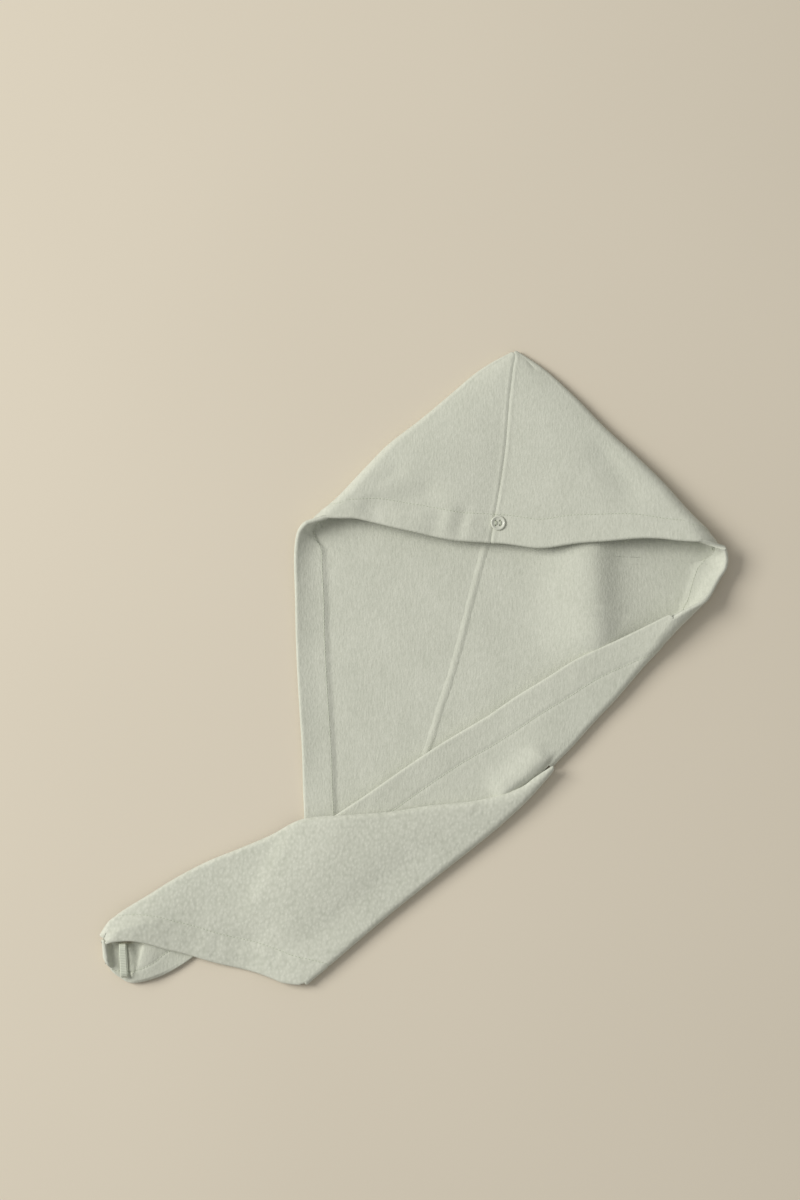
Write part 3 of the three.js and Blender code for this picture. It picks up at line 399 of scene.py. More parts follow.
def face_row(s):
    inward = heading(s["inward"])
    roll = math.radians(s["roll"])
    roll_radius = EDGE_ROLL / roll
    roll_end = plan(s["seam_x"], s["seam_y"]) + inward * curl_reach(roll_radius, roll)
    heights = [level(s[name]) for name in ("seam_layer", "mid_layer", "side_layer")]
    turn = roll * (1 - np.arange(ROLL_CELLS)[:, None] / ROLL_CELLS)
    up = np.array([0.0, 0.0, 1.0])
    rim = roll_end - inward * roll_radius * np.sin(turn) + up * (heights[0] - roll_radius * (1 - np.cos(turn)))
    out = heading(s["out"])
    angle = math.radians(s["curl"])
    radius = s["band"] * (HEM_WIDTH - HEM_STEP / 2) / angle
    start = plan(s["side_x"], s["side_y"]) - out * curl_reach(radius, angle)
    band = 1 - min(0.5, HEM_STEP / np.linalg.norm(start - roll_end))
    shares = np.append(np.linspace(0, band, LEAF_CELLS + 1 - ROLL_CELLS), 1.0)
    leaf = leaf_points(roll_end, start, shares, heights, "face")
    start[2] = heights[2]
    hem = arc(start, out, radius, angle, 0)
    hem[:, 2] = 2 * heights[2] - hem[:, 2]
    return np.concatenate([bow_out(np.concatenate([rim, leaf]), s["bow"]), hem])


def flap_leaf(start, hem, heights, leaf):
    length = np.linalg.norm((hem - start)[:2])
    band = min(HEM_WIDTH - HEM_STEP / 2, length * 0.5)
    plain = np.linspace(length, band + HEM_STEP, TOP_CELLS - BAND_CELLS + 1)[1:]
    distance = np.concatenate([plain, np.linspace(band, 0, BAND_CELLS)])
    flat_start = start * (1, 1, 0)
    return leaf_points(flat_start, hem, 1 - distance / length, heights, leaf)


def flap_row(s, side):
    out = heading(s["out"])
    top = level(s["side_layer"])
    radius = (top - level(0)) / 2
    start = plan(s["side_x"], s["side_y"]) - out * curl_reach(radius, math.pi)
    seam = seam_point(s)
    seam[0] -= side * SEAM_GAP / 2
    row = [back_leaf(seam, start)]
    start[2] = level(0)
    row.append(arc(start, out, radius, math.pi, 0))
    end = level(s["hem_layer"])
    row.append(flap_leaf(row[1][-1], plan(s["hem_x"], s["hem_y"]), (top, (top + end) / 2, end), "flap"))
    return np.concatenate(row)


def under_row(s):
    row = np.full((LAST + 1, 3), np.nan)
    heights = [level(s[name]) for name in ("side_layer", "mid_layer", "hem_layer")]
    start = plan(s["side_x"], s["side_y"])
    hem = plan(s["hem_x"], s["hem_y"])
    row[FOLD_END] = leaf_points(start, hem, np.array([0.0]), heights, "under")[0]
    row[FOLD_END + 1 :] = flap_leaf(start, hem, heights, "under")
    return row


def turn_rows(lower, upper):
    along = (lower[0] - lower[FOLD_END]) * (1, 1, 0)
    along /= np.linalg.norm(along)
    out = np.array([along[1], -along[0], 0.0])
    taper = np.minimum(1, TURN_TAPER + 4 * np.arange(len(lower)) / FOLD_END)
    rows = []
    for k in range(1, TURN_ROWS):
        turn = math.pi * k / TURN_ROWS
        radius = (upper[:, 2] - lower[:, 2]) / 2
        row = lower + (upper - lower) * k / TURN_ROWS
        row[:, 2] = lower[:, 2] + radius * (1 - math.cos(turn))
        rows.append(row + (taper * radius)[:, None] * math.sin(turn) * out)
    return rows


def padded_grid(rows):
    """The rows as one array, with no point where a row is shorter."""
    grid = np.full((len(rows), LAST + 1, 3), np.nan)
    for i, row in enumerate(rows):
        grid[i, : len(row)] = row
    return grid


def open_edge_distance(grid, hood_rows):
    """Distance of each point along the cloth to its panel's open edge."""
    steps = np.nan_to_num(np.linalg.norm(np.diff(grid, axis=1), axis=2))
    to_end = np.zeros(grid.shape[:2])
    to_end[:, :-1] = np.cumsum(steps[:, ::-1], axis=1)[:, ::-1]
    to_fold = np.clip(to_end - to_end[:, FOLD_END : FOLD_END + 1], 0, None)
    down = np.linalg.norm(np.diff(grid[:hood_rows], axis=0), axis=2)
    to_hem = np.zeros((hood_rows, LAST + 1))
    to_hem[:-1] = np.cumsum(down[::-1], axis=0)[::-1]
    distance = to_end.copy()
    distance[:hood_rows] = np.hypot(to_fold[:hood_rows], to_hem)
    return distance


def smooth(low, high, value):
    t = np.clip((value - low) / (high - low), 0, 1)
    return t * t * (3 - 2 * t)


def noise_at(points, size, seed):
    """Smooth noise over points in mm, with waves of about that size."""
    offset = Vector((seed * 7.3, seed * 3.1, seed * 1.7))
    return np.array([noise.noise(Vector(p) / size + offset) for p in points])


def relaxed(grid, rows, columns, rounds):
    """Softens a part of the cloth: each inner point moves towards the middle of its neighbours."""
    i0, i1 = rows
    j0, j1 = columns
    for _ in range(rounds):
        middle = grid[i0:i1, j0:j1]
        around = (
            grid[i0 - 1 : i1 - 1, j0:j1]
            + grid[i0 + 1 : i1 + 1, j0:j1]
            + grid[i0:i1, j0 - 1 : j1 - 1]
            + grid[i0:i1, j0 + 1 : j1 + 1]
        ) / 4
        grid[i0:i1, j0:j1] = np.where(np.isnan(around), middle, (middle + around) / 2)


def object_from(name, vertices, faces, material, uv=None, smooth_faces=True):
    mesh = bpy.data.meshes.new(name)
    placed = (np.asarray(vertices) + SHIFT) * MM
    mesh.from_pydata(placed.tolist(), [], [list(map(int, f)) for f in faces])
    if uv is not None:
        layer = mesh.uv_layers.new(name="cloth")
        corners = np.array([loop.vertex_index for loop in mesh.loops])
        layer.data.foreach_set("uv", (uv[corners] * MM).ravel())
    if smooth_faces:
        mesh.polygons.foreach_set("use_smooth", [True] * len(mesh.polygons))
    mesh.materials.append(material)
    mesh.update()
    made = bpy.data.objects.new(name, mesh)
    bpy.context.scene.collection.objects.link(made)
    return made


def cloth_panel(name, grid, hood_rows, side, joined_rows, material):
    """A closed sheet of terry round its middle surface, with its hem's second layer on the inside."""
    count_i, count_j = grid.shape[:2]
    present = ~np.isnan(grid[:, :, 0])
    numbers = np.full((count_i, count_j), -1)
    numbers[present] = np.arange(present.sum())
    points = grid[present]
    edge_distance = open_edge_distance(grid, hood_rows)
    open_distance = edge_distance[present]
    to_front_seam = np.full((count_i, count_j), 99.0)
    steps = np.linalg.norm(np.diff(grid[:hood_rows], axis=1), axis=2)
    to_front_seam[:hood_rows, -1] = 0
    to_front_seam[:hood_rows, :-1] = np.cumsum(steps[:, ::-1], axis=1)[:, ::-1]
    to_front_seam = to_front_seam[present]

    a, b = numbers[:-1, :-1], numbers[:-1, 1:]
    d, c = numbers[1:, :-1], numbers[1:, 1:]
    quads = np.stack([a, b, c, d] if side > 0 else [a, d, c, b], axis=-1).reshape(-1, 4)
    quads = quads[(quads >= 0).all(axis=1)]

    corner = points[quads]
    face_normals = np.cross(corner[:, 2] - corner[:, 0], corner[:, 3] - corner[:, 1])
    normals = np.zeros_like(points)
    for k in range(4):
        np.add.at(normals, quads[:, k], face_normals)
    normals /= np.linalg.norm(normals, axis=1)[:, None] + 1e-12

    seam_edge = np.zeros(len(points), dtype=bool)
    for i in range(joined_rows):
        columns = (0, LAST) if i < hood_rows else (0,)
        for j in columns:
            k = numbers[i, j]
            before, after = grid[max(i - 1, 0), j], grid[min(i + 1, count_i - 1), j]
            if np.isnan(after).any():
                after = grid[i, j]
            across = (after - before) * (1, 1, 0)
            across /= np.linalg.norm(across) + 1e-12
            across = np.array([-across[1], across[0], 0.0])
            normals[k] -= across * (normals[k] @ across)
            normals[k] /= np.linalg.norm(normals[k]) + 1e-12
            seam_edge[k] = True

    shares = smooth(HEM_WIDTH + HEM_STEP, HEM_WIDTH - HEM_STEP, open_distance)
    stitch = np.exp(-(((open_distance - STITCH_AT) / 1.6) ** 2))
    pucker = noise_at(points, 9.0, side + 3)
    groove = stitch * (0.5 + 0.4 * pucker)
    seam_ridge = 0.3 * np.exp(-(((to_front_seam - 3.0) / 1.7) ** 2))
    seam_groove = 0.2 * np.exp(-((to_front_seam / 1.2) ** 2))
    band = smooth(0, 4, open_distance) * smooth(HEM_WIDTH + 6, HEM_WIDTH - 4, open_distance)
    waves = 0.3 * noise_at(points, 26.0, side + 5) + 0.45 * band * pucker
    inner = points + normals * (CLOTH * (0.5 + 0.75 * shares) - groove * 0.4 + waves * 0.3)[:, None]
    outer = points - normals * (CLOTH / 2 - groove + waves * 0.6 + seam_ridge - seam_groove)[:, None]

    edges = {}
    for quad in quads.tolist():
        for u, v in zip(quad, quad[1:] + quad[:1]):
            if (v, u) in edges:
                del edges[(v, u)]
            else:
                edges[(u, v)] = True
    count = len(points)
    vertices = [inner, outer]
    faces = [quads, quads[:, ::-1] + count]

    # rounded rims: the middle of each rim stands out from the cloth's edge
    rim_ids = sorted({u for edge in edges for u in edge})
    rim_of = {u: k for k, u in enumerate(rim_ids)}
    outward = np.zeros((len(rim_ids), 3))
    for u, v in edges:
        run = points[v] - points[u]
        away = np.cross(run, normals[u] + normals[v])
        outward[rim_of[u]] += away
        outward[rim_of[v]] += away
    outward /= np.linalg.norm(outward, axis=1)[:, None] + 1e-12
    rings = []
    for turn in (0.25, 0.5, 0.75):
        top, low = inner[rim_ids], outer[rim_ids]
        thickness = np.linalg.norm(top - low, axis=1)[:, None]
        bulge = 0.36 * math.sin(math.pi * turn) * thickness
        bulge[seam_edge[rim_ids]] = 0
        share = (1 - math.cos(math.pi * turn)) / 2
        rings.append(top + (low - top) * share + outward * bulge)
    vertices += rings
    rim_faces = []
    layers = [lambda u: u] + [
        (lambda u, k=k: 2 * count + k * len(rim_ids) + rim_of[u]) for k in range(3)
    ] + [lambda u: u + count]
    for u, v in edges:
        for upper, under in zip(layers, layers[1:]):
            rim_faces.append((upper(v), upper(u), under(u), under(v)))
    faces.append(np.array(rim_faces))

    uv = np.zeros((count_i, count_j, 2))
    across = np.nan_to_num(np.linalg.norm(np.diff(grid, axis=1), axis=2))
    uv[:, 1:, 0] = np.cumsum(across, axis=1)
    under = np.isnan(grid[:, 0, 0])
    if under.any():
        first = int(np.argmax(under))
        uv[under, :, 0] += uv[first - 1, FOLD_END, 0]
    along = np.nanmean(np.linalg.norm(np.diff(grid, axis=0), axis=2), axis=1)
    uv[1:, :, 1] = np.cumsum(along)[:, None]
    flat_uv = uv[present]
    all_uv = np.concatenate([flat_uv, flat_uv] + [flat_uv[rim_ids]] * 3)
    placed = np.concatenate(vertices)
    placed[:, 2] = np.maximum(placed[:, 2], 0.0)
    made = object_from(name, placed, np.concatenate(faces), material, all_uv)
    surfaces = []
    for skin in (inner, outer):
        full = np.full((count_i, count_j, 3), np.nan)
        full[present] = skin * (1, 1, 0) + np.maximum(skin, 0) * (0, 0, 1)
        surfaces.append(full)
    return made, surfaces, edge_distance


def lit_colour(red, green, blue):
    """A colour from its screen values, 0 to 255."""
    linear = [((v / 255 + 0.055) / 1.055) ** 2.4 for v in (red, green, blue)]
    return (*linear, 1.0)


def socket(group, name, kind, way, value=None):
    made = group.interface.new_socket(name, in_out=way, socket_type=kind)
    if value is not None:
        made.default_value = value


def noise_node(tree, vector, detail):
    node = tree.nodes.new("ShaderNodeTexNoise")
    node.inputs["Scale"].default_value = 1.0
    node.inputs["Detail"].default_value = detail
    tree.links.new(vector, node.inputs["Vector"])
    return node.outputs["Fac"]


def scaled(tree, vector, x, y, z):
    """The vector stretched so that one wave of a texture has these sizes in mm."""
    node = tree.nodes.new("ShaderNodeVectorMath")
    node.operation = "MULTIPLY"
    node.inputs[1].default_value = (1000 / x, 1000 / y, 1000 / z)
    tree.links.new(vector, node.inputs[0])
    return node.outputs[0]


def maths(tree, operation, first, second, third=None):
    node = tree.nodes.new("ShaderNodeMath")
    node.operation = operation
    for k, value in enumerate((first, second, third)):
        if value is None:
            continue
        if isinstance(value, (int, float)):
            node.inputs[k].default_value = value
        else:
            tree.links.new(value, node.inputs[k])
    return node.outputs[0]


def blended(tree, share, first, second):
    node = tree.nodes.new("ShaderNodeMix")
    node.data_type = "RGBA"
    for socket_name, value in (("Factor", share), ("A", first), ("B", second)):
        picked = [i for i in node.inputs if i.name == socket_name and i.enabled][-1]
        if isinstance(value, tuple):
            picked.default_value = value
        else:
            tree.links.new(value, picked)
    return [o for o in node.outputs if o.enabled][-1]


def terry_pile_group():
    """Cut and looped pile: ribs along the cloth, small loops, and soft worn patches. Its colour is a painted shade at
    the pile's roots and a painted light on its crests, set by the pile's height.
    """
    group = bpy.data.node_groups.new("terry pile", "ShaderNodeTree")
    socket(group, "Cloth", "NodeSocketVector", "INPUT")
    socket(group, "Coarse", "NodeSocketFloat", "INPUT", 0.0)
    socket(group, "Lit Crest Colour", "NodeSocketColor", "INPUT")
    socket(group, "Shaded Root Colour", "NodeSocketColor", "INPUT")
    socket(group, "Colour", "NodeSocketColor", "OUTPUT")
    socket(group, "Height", "NodeSocketFloat", "OUTPUT")
    given = group.nodes.new("NodeGroupInput")
    put_out = group.nodes.new("NodeGroupOutput")
    cloth = given.outputs["Cloth"]
    ribs = noise_node(group, scaled(group, cloth, 2.0, 5.5, 5.5), 2)
    tufts = noise_node(group, scaled(group, cloth, 1.5, 1.8, 1.8), 2)
    clumps = noise_node(group, scaled(group, cloth, 3.6, 4.2, 4.2), 2)
    patches = noise_node(group, scaled(group, cloth, 38, 55, 55), 2)
    loops = group.nodes.new("ShaderNodeTexVoronoi")
    loops.feature = "SMOOTH_F1"
    loops.inputs["Scale"].default_value = 1.0
    group.links.new(scaled(group, cloth, 2.9, 3.3, 3.3), loops.inputs["Vector"])
    fine = maths(group, "ADD", maths(group, "MULTIPLY", ribs, 0.6), maths(group, "MULTIPLY", tufts, 0.4))
    crest = maths(group, "SUBTRACT", 0.95, loops.outputs["Distance"])
    rough = maths(group, "ADD", maths(group, "MULTIPLY", crest, 0.55), maths(group, "MULTIPLY", clumps, 0.45))
    coarse = maths(group, "MULTIPLY", rough, given.outputs["Coarse"])
    rest = maths(group, "MULTIPLY", fine, maths(group, "SUBTRACT", 1.0, given.outputs["Coarse"]))
    height = maths(group, "ADD", coarse, rest)
    # painted shade and light: low pile takes the shaded root colour and high pile the lit crest colour, shifted by the
    # soft patches
    lift = maths(group, "MULTIPLY_ADD", height, 1.9, -0.45)
    lift = maths(group, "ADD", lift, maths(group, "MULTIPLY_ADD", patches, 0.7, -0.33))
    share = group.nodes.new("ShaderNodeClamp")
    group.links.new(lift, share.inputs["Value"])
    colour = blended(group, share.outputs[0], given.outputs["Shaded Root Colour"], given.outputs["Lit Crest Colour"])
    group.links.new(colour, put_out.inputs["Colour"])
    group.links.new(height, put_out.inputs["Height"])
    return group


def finish(name, roughness):
    """A new material with its tree, its shader and a bump node that feeds the shader."""
    material = bpy.data.materials.new(name)
    material.use_nodes = True
    tree = material.node_tree
    shader = tree.nodes["Principled BSDF"]
    shader.inputs["Roughness"].default_value = roughness
    bump = tree.nodes.new("ShaderNodeBump")
    tree.links.new(bump.outputs["Normal"], shader.inputs["Normal"])
    return material, tree, shader, bump


TERRY_PILE = terry_pile_group()


def terry_finish(name, lit_crest_colour, shaded_root_colour, depth):
    # the crest colour is a painted light and the root colour a painted shade of the one cloth colour
    material, tree, shader, bump = finish(name, 0.95)
    place = tree.nodes.new("ShaderNodeTexCoord").outputs["Object"]
    coarse = tree.nodes.new("ShaderNodeAttribute")
    coarse.attribute_name = "coarse"
    pile = tree.nodes.new("ShaderNodeGroup")
    pile.node_tree = TERRY_PILE
    pile.inputs["Lit Crest Colour"].default_value = lit_crest_colour
    pile.inputs["Shaded Root Colour"].default_value = shaded_root_colour
    tree.links.new(place, pile.inputs["Cloth"])
    tree.links.new(coarse.outputs["Fac"], pile.inputs["Coarse"])
    tree.links.new(pile.outputs["Colour"], shader.inputs["Base Color"])
    tree.links.new(pile.outputs["Height"], bump.inputs["Height"])
    bump.inputs["Strength"].default_value = 0.6
    bump.inputs["Distance"].default_value = depth
    shader.inputs["Sheen Weight"].default_value = 0.2
    shader.inputs["Sheen Roughness"].default_value = 0.6
    return material


def thread_finish():
    material, tree, shader, bump = finish("sewing thread", 0.7)
    place = tree.nodes.new("ShaderNodeTexCoord").outputs["Object"]
    twist = noise_node(tree, scaled(tree, place, 0.7, 0.7, 0.7), 2)
    tree.links.new(blended(tree, twist, lit_colour(188, 194, 175), lit_colour(203, 208, 190)), shader.inputs["Base Color"])
    tree.links.new(twist, bump.inputs["Height"])
    bump.inputs["Distance"].default_value = 0.0001
    return material


def resin_finish():
    """The button's resin: clouded, with a few fine rubbed marks."""
    material, tree, shader, bump = finish("button resin", 0.42)
    place = tree.nodes.new("ShaderNodeTexCoord").outputs["Object"]
    cloud = noise_node(tree, scaled(tree, place, 5, 8, 5), 3)
    tree.links.new(blended(tree, cloud, lit_colour(197, 200, 186), lit_colour(206, 208, 194)), shader.inputs["Base Color"])
    rubbed = noise_node(tree, scaled(tree, place, 0.5, 6, 0.5), 2)
    tree.links.new(maths(tree, "MULTIPLY_ADD", rubbed, 0.16, 0.36), shader.inputs["Roughness"])
    tree.links.new(rubbed, bump.inputs["Height"])
    bump.inputs["Strength"].default_value = 0.3
    bump.inputs["Distance"].default_value = 0.00005
    shader.inputs["Coat Weight"].default_value = 0.15
    return material


def elastic_finish():
    material, tree, shader, bump = finish("woven elastic", 0.8)
    cloth = tree.nodes.new("ShaderNodeUVMap")
    cloth.uv_map = "cloth"
    picks = tree.nodes.new("ShaderNodeTexWave")
    picks.inputs["Scale"].default_value = 1.0
    picks.inputs["Distortion"].default_value = 0.6
    tree.links.new(scaled(tree, cloth.outputs["UV"], 5.0, 40, 40), picks.inputs["Vector"])
    shade = blended(tree, picks.outputs["Fac"], lit_colour(190, 196, 178), lit_colour(208, 212, 196))
    tree.links.new(shade, shader.inputs["Base Color"])
    tree.links.new(picks.outputs["Fac"], bump.inputs["Height"])
    bump.inputs["Distance"].default_value = 0.0003
    return material


# the lit and the shaded tone of the sage cloth, blended by pile height as painted light and painted shade
terry = terry_finish("sage terry", lit_colour(209, 211, 197), lit_colour(187, 190, 175), 0.0009)
thread = thread_finish()
button_resin = resin_finish()
elastic = elastic_finish()

hood_left = [hood_row(s, 1, LOFT_LEFT) for s in sections(HOOD_LEFT, STEPS)]
hood_right = [hood_row(s, -1, LOFT_RIGHT) for s in sections(HOOD_RIGHT, STEPS)]
edge_left = [edge_row(s, 1) for s in sections(EDGE_LEFT, STEPS)]
edge_right = [edge_row(s, -1) for s in sections(EDGE_RIGHT, STEPS)]
flap_rows = [flap_row(s, -1) for s in sections(FLAP, STEPS)]
under_rows = [under_row(s) for s in sections(UNDER_TAIL, STEPS)]
face_rows = [face_row(s) for s in sections(TAIL_FACE, STEPS)]
turned = turn_rows(edge_left[-1], face_rows[0])

hood_count = len(hood_left)
left_grid = padded_grid(hood_left + edge_left + turned + face_rows)
right_grid = padded_grid(hood_right + edge_right + flap_rows + under_rows)
LAST_ON_SEAM = 9
joined_edge = LAST_ON_SEAM * STEPS + 1
left_joined = hood_count + joined_edge
right_joined = hood_count + len(edge_right) + len(flap_rows)
face_start = hood_count + len(edge_left) + len(turned)

# the cloth bends softly where the hood's folds run out into the hems
relaxed(left_grid, (hood_count - 9, hood_count + 22), (FOLD_START - 16, FOLD_END), 26)
relaxed(right_grid, (hood_count - 9, hood_count + 20), (FOLD_START - 16, FOLD_END), 26)
flap_start = hood_count + len(edge_right)
relaxed(right_grid, (flap_start - 12, flap_start + 10), (FOLD_START - 10, FOLD_END), 10)
relaxed(left_grid, (face_start - 13, face_start + 30), (2, FOLD_END), 40)

left_panel, left_skins, left_open = cloth_panel("left_terry", left_grid, hood_count, 1, left_joined, terry)
right_panel, right_skins, right_open = cloth_panel("right_terry", right_grid, hood_count, -1, right_joined, terry)


def set_coarse(panel, grid, shares):
    """Keeps on each point how coarse the pile is there: 0 fine, 1 coarse loops."""
    present = ~np.isnan(grid[:, :, 0])
    flat = np.broadcast_to(shares[:, None], present.shape)[present]
    values = np.zeros(len(panel.data.vertices))
    values[: 2 * len(flat)] = np.concatenate([flat, flat])
    panel.data.attributes.new("coarse", "FLOAT", "POINT").data.foreach_set("value", values)


left_rows = np.arange(len(left_grid))
set_coarse(left_panel, left_grid, smooth(face_start - 8, face_start, left_rows))
set_coarse(right_panel, right_grid, np.zeros(len(right_grid)))


def tube(path, radii, sides):
    """A closed tube of round sections along a path."""
    path = np.asarray(path, dtype=float)
    run = np.gradient(path, axis=0)
    run /= np.linalg.norm(run, axis=1)[:, None] + 1e-12
    first = np.cross(run, [0.0, 0.0, 1.0])
    weak = np.linalg.norm(first, axis=1) < 1e-3
    first[weak] = np.cross(run[weak], [1.0, 0.0, 0.0])
    first /= np.linalg.norm(first, axis=1)[:, None]
    second = np.cross(run, first)
    turns = np.linspace(0, 2 * math.pi, sides, endpoint=False)
    ring = first[:, None] * np.cos(turns)[None, :, None] + second[:, None] * np.sin(turns)[None, :, None]
    vertices = (path[:, None] + ring * np.asarray(radii)[:, None, None]).reshape(-1, 3)
    faces = []
    for i in range(len(path) - 1):
        for k in range(sides):
            a, b = i * sides + k, i * sides + (k + 1) % sides
            faces.append((a, a + sides, b + sides, b))
    faces.append(tuple(range(sides)))
    faces.append(tuple(reversed(range((len(path) - 1) * sides, len(path) * sides))))
    return vertices, faces


def joined(parts):
    """Several lists of vertices and faces as one."""
    vertices, faces, start = [], [], 0
    for part_vertices, part_faces in parts:
        vertices.append(part_vertices)
        faces += [tuple(v + start for v in face) for face in part_faces]
        start += len(part_vertices)
    return np.concatenate(vertices), faces


def stitch_line(skin, distance, hood_rows):
    """Points of a skin along its hem's stitching, from the front seam round to the hem's far end."""
    found = []

    def crossing(a, b, pa, pb):
        t = (STITCH_AT - a) / (b - a)
        found.append(pa + (pb - pa) * t)

    for j in range(LAST, 0, -1):
        column = distance[:hood_rows, j]
        below = np.flatnonzero((column[:-1] > STITCH_AT) & (column[1:] <= STITCH_AT))
        if len(below):
            i = below[-1]
            crossing(column[i], column[i + 1], skin[i, j], skin[i + 1, j])
    for i in range(hood_rows, len(distance)):
        row = np.where(np.isnan(skin[i, :, 0]), np.nan, distance[i])
        beside = np.flatnonzero((row[:-1] > STITCH_AT) & (row[1:] <= STITCH_AT))
        if len(beside):
            j = beside[-1]
            crossing(row[j], row[j + 1], skin[i, j], skin[i, j + 1])
    line = np.array(found)
    return line[~np.isnan(line).any(axis=1)]


def stitches(line, length, gap, radius):
    """Machine stitches along a line, each one sunk at its ends."""
    steps = np.linalg.norm(np.diff(line, axis=0), axis=1)
    line = line[np.append(True, steps > 1e-6)]
    at = np.append(0, np.cumsum(np.linalg.norm(np.diff(line, axis=0), axis=1)))
    parts = []
    for start in np.arange(0, at[-1] - length, length + gap):
        marks = start + length * np.array([0.0, 0.2, 0.5, 0.8, 1.0])
        path = np.stack([np.interp(marks, at, line[:, k]) for k in range(3)], axis=1)
        vertices, faces = tube(path, radius * np.array([0.45, 0.95, 1.0, 0.95, 0.45]), 6)
        vertices[:, 2] = np.maximum(vertices[:, 2], 0)
        parts.append((vertices, faces))
    return parts


def hem_stitching(name, skins, distance):
    """The hem's stitches on both faces of the cloth."""
    inner = stitch_line(skins[0], distance, hood_count)
    outer = stitch_line(skins[1], distance, hood_count)
    made = object_from(name, *joined(stitches(inner, 2.7, 0.7, 0.36) + stitches(outer, 2.7, 0.7, 0.36)), thread)
    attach(made, "root")
    return made


left_stitches = hem_stitching("left_hem_stitches", left_skins, left_open)
right_stitches = hem_stitching("right_hem_stitches", right_skins, right_open)


def allowance(name, node, line, up, width, height):
    """A sewn allowance: a soft raised ridge of cloth along a seam."""
    run = np.gradient(line * (1, 1, 0), axis=0)
    run /= np.linalg.norm(run, axis=1)[:, None] + 1e-12
    across = np.stack([-run[:, 1], run[:, 0], np.zeros(len(run))], axis=1)
    at = np.append(0, np.cumsum(np.linalg.norm(np.diff(line, axis=0), axis=1)))
    sway = 0.35 * noise_at(np.stack([at, at * 0, at * 0], axis=1), 14.0, 2)
    swell = 1 + 0.16 * noise_at(np.stack([at, at * 0, at * 0], axis=1), 7.0, 4)
    places = np.linspace(1, -1, 13)
    rise = (height + 0.3) * np.cos(places * math.pi / 2) ** 2 - 0.3
    profile = np.stack([places * width / 2, rise], axis=1)
    profile = np.concatenate([profile, [(-width * 0.3, -0.8), (width * 0.3, -0.8)]])
    size = len(profile)
    rings = (
        line[:, None]
        + across[:, None] * (profile[None, :, 0:1] * swell[:, None, None] + sway[:, None, None])
        + np.array([0, 0, up]) * profile[None, :, 1:2] * swell[:, None, None]
    )
    vertices = rings.reshape(-1, 3)
    faces = []
    for i in range(len(line) - 1):
        for k in range(size):
            a, b = i * size + k, i * size + (k + 1) % size
            faces.append((a, b, b + size, a + size)[:: int(up)])
    faces.append(tuple(reversed(range(size)))[:: int(up)])
    faces.append(tuple(range((len(line) - 1) * size, len(line) * size))[:: int(up)])
    around = np.append(0, np.cumsum(np.linalg.norm(np.diff(profile, axis=0), axis=1)))
    uv = np.stack([np.tile(around, len(line)), np.repeat(at, size)], axis=1)
    made = object_from(name, vertices, faces, terry, uv)
    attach(made, "root")
    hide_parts(node)
    return made


def resampled(line, step):
    at = np.append(0, np.cumsum(np.linalg.norm(np.diff(line, axis=0), axis=1)))
    marks = np.linspace(0, at[-1], int(at[-1] / step) + 1)
    return np.stack([np.interp(marks, at, line[:, k]) for k in range(3)], axis=1)


# the back's allowance lies on the cloth and the front's hangs inside the hood
back_line = left_skins[0][45:left_joined, 0].copy()
back_line[:, 2] = CLOTH
back_ridge = allowance("back_seam_ridge", "back_seam", resampled(back_line, 2.0), 1, 12.5, 0.8)
front_line = left_skins[0][45 : hood_count - 1, LAST]
front_ridge = allowance("front_seam_ridge", "front_seam", resampled(front_line, 2.0), -1, 9.0, 1.6)


def lathe(profile, sides):
    turns = np.linspace(0, 2 * math.pi, sides, endpoint=False)
    vertices, faces = [], []
    for r, z in profile:
        vertices += [(r * math.cos(t), r * math.sin(t), z) for t in turns]
    for i in range(len(profile) - 1):
        for k in range(sides):
            a, b = i * sides + k, i * sides + (k + 1) % sides
            faces.append((a, b, b + sides, a + sides))
    faces.append(tuple(reversed(range(sides))))
    faces.append(tuple(range((len(profile) - 1) * sides, len(profile) * sides)))
    return np.array(vertices), faces


BUTTON = plan(63.3, 72.1)
BUTTON[2] = level(1) + FRONT_LOFT + CLOTH / 2 - 0.4
HOLE_SPACING = 4.2
holes = [np.array([x, y, 0]) * HOLE_SPACING / 2 for x in (-1, 1) for y in (-1, 1)]


def sewn_button():
    """The button: a dished disc with a rounded rim and four holes with softened edges."""
    profile = [(1.2, 0.0), (5.4, 0.0), (6.5, 0.35), (7.2, 0.95), (7.48, 1.6), (7.4, 2.25), (7.05, 2.75)]
    profile += [(6.6, 2.98), (6.1, 2.95), (5.6, 2.7), (5.1, 2.3), (4.6, 2.05), (3.8, 1.95), (2.0, 1.9), (0.8, 1.88)]
    disc = object_from("button_disc", *lathe(profile, 72), button_resin)
    for k, hole in enumerate(holes):
        drill_profile = [(1.05, -1.0), (1.05, 1.45), (1.15, 1.7), (1.5, 2.1), (1.9, 4.0)]
        drill_vertices, drill_faces = lathe(drill_profile, 20)
        drill = object_from(f"button_drill_{k}", drill_vertices + hole, drill_faces, button_resin)
        cut = disc.modifiers.new("hole", "BOOLEAN")
        cut.object = drill
        cut.operation = "DIFFERENCE"
        cut.solver = "EXACT"
    graph = bpy.context.evaluated_depsgraph_get()
    drilled = bpy.data.meshes.new_from_object(disc.evaluated_get(graph))
    disc.modifiers.clear()
    disc.data = drilled
    for k in range(len(holes)):
        bpy.data.objects.remove(bpy.data.objects[f"button_drill_{k}"])
    disc.location = Vector(BUTTON) * MM
    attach(disc, "root")
    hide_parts("button")


